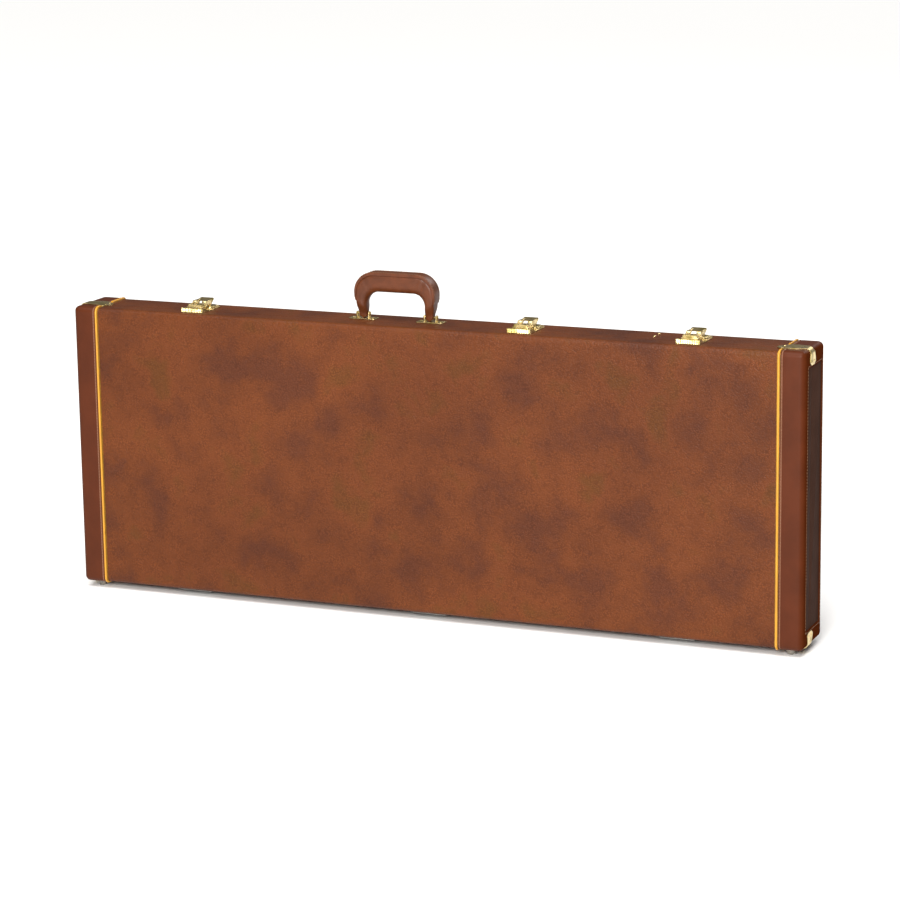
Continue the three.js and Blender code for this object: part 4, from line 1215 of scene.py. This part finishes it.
def bent_band(corners, radius, thickness, y0, y1, edge):
    """A band on edge: a rounded rectangle across its thickness and depth, carried along a path in the
    (x, z) plane whose corners are parabolas."""
    corners = np.asarray(corners, float)
    t = np.linspace(0, 1, 7)[:, None]
    parts = [corners[:1]]
    for before, corner, after in zip(corners, corners[1:], corners[2:]):
        start = corner + radius * unit(before - corner)
        end = corner + radius * unit(after - corner)
        parts.append(parabola(t, start, corner, end))
    parts.append(corners[-1:])
    path = at_y((y0 + y1) / 2, np.concatenate(parts))
    side = unit(np.cross(np.gradient(path, axis=0), [0, 1.0, 0]))
    half, deep = thickness / 2, abs(y1 - y0) / 2
    section = rectangle(-half, half, -deep, deep, edge)
    return sweep(path, side, np.array([0, 1.0, 0]), section)


def build_seam_tongue():
    low, high = box_mm("seam_tongue")
    thick = 2.5
    in_x, in_z = high[0] - thick / 2, high[2] - thick / 2
    corners = [[-in_x, low[2]], [-in_x, in_z], [in_x, in_z], [in_x, low[2]]]
    band = bent_band(corners, 3, thick, low[1], high[1], 1.0)
    make_piece("plush_seam_tongue", [band], crushed_plush, "body", ["seam_tongue"])


def build_compartment():
    low, high = box_mm("compartment_walls")
    x0, x1, z0 = low[0] + 2, high[0] - 2, low[2] + 2
    walls = bent_band([[x0, high[2]], [x0, z0], [x1, z0], [x1, high[2]]], 4, 4, low[1], high[1], 1.2)
    make_piece("compartment_plush_walls", [walls], crushed_plush, "body", ["compartment_walls"])
    pad("compartment_lid", "compartment_plush_lid", "body", -1, 1.8, 2.0, 5)
    low, high = box_mm("compartment_lid")
    x, z = (low[0] + high[0]) / 2, low[2]
    lift = np.array([0.2, -0.9, -2.4, -2.9, -2.9, -2.7])
    rise = np.array([34, 26, 18, 12, 8, 4.0])
    path = at_x(x, np.stack([low[1] - 0.6 + lift * 0.6, z + rise], -1))
    width = np.array([5.5, 6, 6, 6, 5.2, 2.5])
    section = rectangle(-1, 1, -0.7, 0.7, 0.3) * np.stack([width, np.ones(6)], -1)[:, None]
    tab = sweep(path, np.array([1.0, 0, 0]), np.array([0, -1.0, 0]), section)
    stud = rivet((x, low[1] - 1.9, z + 29), "y", 3.0, -1.2)
    make_piece("compartment_pull_tab", [tab], waxed_leather, "body")
    make_piece("compartment_tab_stud", [stud], plated_brass, "body")


def build_neck_rest():
    """A saddle: its (y, z) outline, hollowed by a parabola, carried along X with soft rims."""
    low, high = box_mm("neck_rest")
    back, face = high[1], low[1]
    t = np.linspace(0, 1, 25)[1:-1]
    notch = 30.0
    hollow = np.stack([face + 44 * t * (1 - t), MIDDLE_Z + notch * (1 - 2 * t)], -1)
    outline = np.concatenate([rounded(
        [[back, low[2]], [back, high[2]], [face, high[2]], [face, high[2] - 8], [face + 4, MIDDLE_Z]],
        [0.5, 0.5, 4, 2, 0.5])[:-10], hollow,
        [[face, low[2] + 9], [face + 0.6, low[2] + 4], [face + 4, low[2] + 0.6]]])
    surface = prism(outline, low[0], high[0], 3.0, "x")
    plush_piece("plush_neck_rest", [surface], "body", ["neck_rest"])


def build_shell_finish():
    """The plywood shells stay as they are in the frame, and get their wood."""
    for half in HALVES:
        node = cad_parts[f"{half}_shell"]
        node.data.materials.clear()
        node.data.materials.append(finish(birch_plywood))


# ---- Stage ----
CAMERA_PLACE = (1.9292, -4.5189, 1.3876)  # metres
CAMERA_TURN = (77.188, 0.796, 22.688)  # degrees
CAMERA_LENS = 125.9  # millimetres, over a frame of FRAME_WIDTH
FRAME_WIDTH = 36.0


def add_light(name, kind, power, direction, place=(0, 0, 0), **settings):
    """A light of a kind that shines in a direction."""
    light = bpy.data.lights.new(name, kind)
    light.energy = power
    for key, value in settings.items():
        setattr(light, key, value)
    holder = bpy.data.objects.new(name, light)
    holder.location = place
    holder.rotation_euler = Vector(direction).to_track_quat("-Z", "Y").to_euler()
    bpy.context.scene.collection.objects.link(holder)


def add_softbox(name, power, place, target, breadth, height, tint):
    direction = Vector(target) - Vector(place)
    add_light(name, "AREA", power, direction, place, shape="RECTANGLE", size=breadth, size_y=height,
        color=tint)


def build_stage():
    scene = bpy.context.scene
    reach = 60.0  # metres of floor each way
    x, y = np.meshgrid(np.linspace(-reach, reach, 3), np.linspace(-reach, reach, 3), indexing="ij")
    mesh = bpy.data.meshes.new("studio_floor")
    points, quads, _, _ = grid(np.stack([x, y, 0 * x], -1))
    mesh.from_pydata(points.tolist(), [], quads.tolist())
    mesh.materials.append(finish(painted_floor))
    floor = bpy.data.objects.new("studio_floor", mesh)
    scene.collection.objects.link(floor)

    lens = bpy.data.cameras.new("camera")
    lens.lens = CAMERA_LENS
    lens.sensor_width = FRAME_WIDTH
    lens.clip_end = 200
    camera = bpy.data.objects.new("camera", lens)
    camera.location = CAMERA_PLACE
    camera.rotation_euler = np.radians(CAMERA_TURN)
    scene.collection.objects.link(camera)
    scene.camera = camera

    world = bpy.data.worlds.new("studio")
    world.use_nodes = True
    backdrop = world.node_tree.nodes["Background"]
    backdrop.inputs["Color"].default_value = (1, 1, 1, 1)
    backdrop.inputs["Strength"].default_value = 0.16
    scene.world = world
    scene.view_settings.view_transform = "Standard"

    add_light("ceiling", "SUN", 3.2, (0.0, 0.36, -0.93), angle=np.radians(50))
    add_softbox("key", 340, (0.95, -5.0, 2.3), (0.1, 0, 0.25), 2.0, 1.6, (1, 0.98, 0.96))
    add_softbox("back", 120, (2.0, 4.6, 3.8), (0, 0, 0.25), 3.0, 2.0, (1, 1, 1))


# ---- Operators ----
def make_operator(name, label, help_text, build):
    """An operator class that runs one of the functions above."""

    def execute(self, context):
        build()
        return {"FINISHED"}

    members = {"__doc__": help_text, "bl_idname": f"guitar_case.{name}", "bl_label": label,
        "bl_options": {"REGISTER", "UNDO"}, "execute": execute}
    return type(f"GUITAR_CASE_OT_{name}", (bpy.types.Operator,), members)


STEPS = [("stage", "Stage", "Camera, floor and studio light", build_stage),
    ("shells", "Plywood shells", "Wood of the two shells", build_shell_finish),
    ("covers", "Covers", "Pebbled leathercloth over the middle of both halves", build_covers),
    ("end_caps", "End caps", "Smooth caps and their end panels", build_end_caps),
    ("stitching", "Stitching", "Folded edges and stitches", build_stitching),
    ("piping", "Piping", "Golden piping beside the caps", build_piping),
    ("rim_bindings", "Rim bindings", "Leathercloth turned over the rims", build_rim_bindings),
    ("guards", "Guards", "Brass guards over the seam", build_guards),
    ("latches", "Latches", "Keepers, bases, levers and claws", build_latches),
    ("handle", "Handle", "Leather grip, brackets and pins", build_handle),
    ("feet", "Feet", "Nickel feet", build_feet),
    ("hinges", "Hinges", "Rolled hinges under the spine", build_hinges),
    ("partition_rivets", "Partition rivets", "Two brass heads on the top", build_partition_rivets),
    ("lid_lining", "Lid lining", "Plush tray in the lid", build_lid_lining),
    ("foam", "Foam", "Plush over the foam round the well", build_foam),
    ("seam_tongue", "Seam tongue", "Plush-covered lip inside the body's rim", build_seam_tongue),
    ("compartment", "Compartment", "Walls, lid and pull tab", build_compartment),
    ("neck_rest", "Neck rest", "Padded saddle under the neck", build_neck_rest)]
OPERATORS = [make_operator(*step) for step in STEPS]


class GUITAR_CASE_PT_panel(bpy.types.Panel):
    """Lists the steps that make the guitar case."""

    bl_label = "Guitar Case"
    bl_idname = "GUITAR_CASE_PT_panel"
    bl_space_type = "VIEW_3D"
    bl_region_type = "UI"
    bl_category = "Guitar Case"

    def draw(self, context):
        column = self.layout.column(align=True)
        for operator in OPERATORS:
            column.operator(operator.bl_idname)


CLASSES = [CaseSizes, CaseColours, *OPERATORS, GUITAR_CASE_PT_panel]


def register():
    for item in CLASSES:
        bpy.utils.register_class(item)
    bpy.types.Scene.case_sizes = PointerProperty(type=CaseSizes)
    bpy.types.Scene.case_colours = PointerProperty(type=CaseColours)


def unregister():
    del bpy.types.Scene.case_colours
    del bpy.types.Scene.case_sizes
    for item in reversed(CLASSES):
        bpy.utils.unregister_class(item)


def main():
    register()
    for name, *_ in STEPS:
        getattr(bpy.ops.guitar_case, name)()


if __name__ == "__main__":
    main()
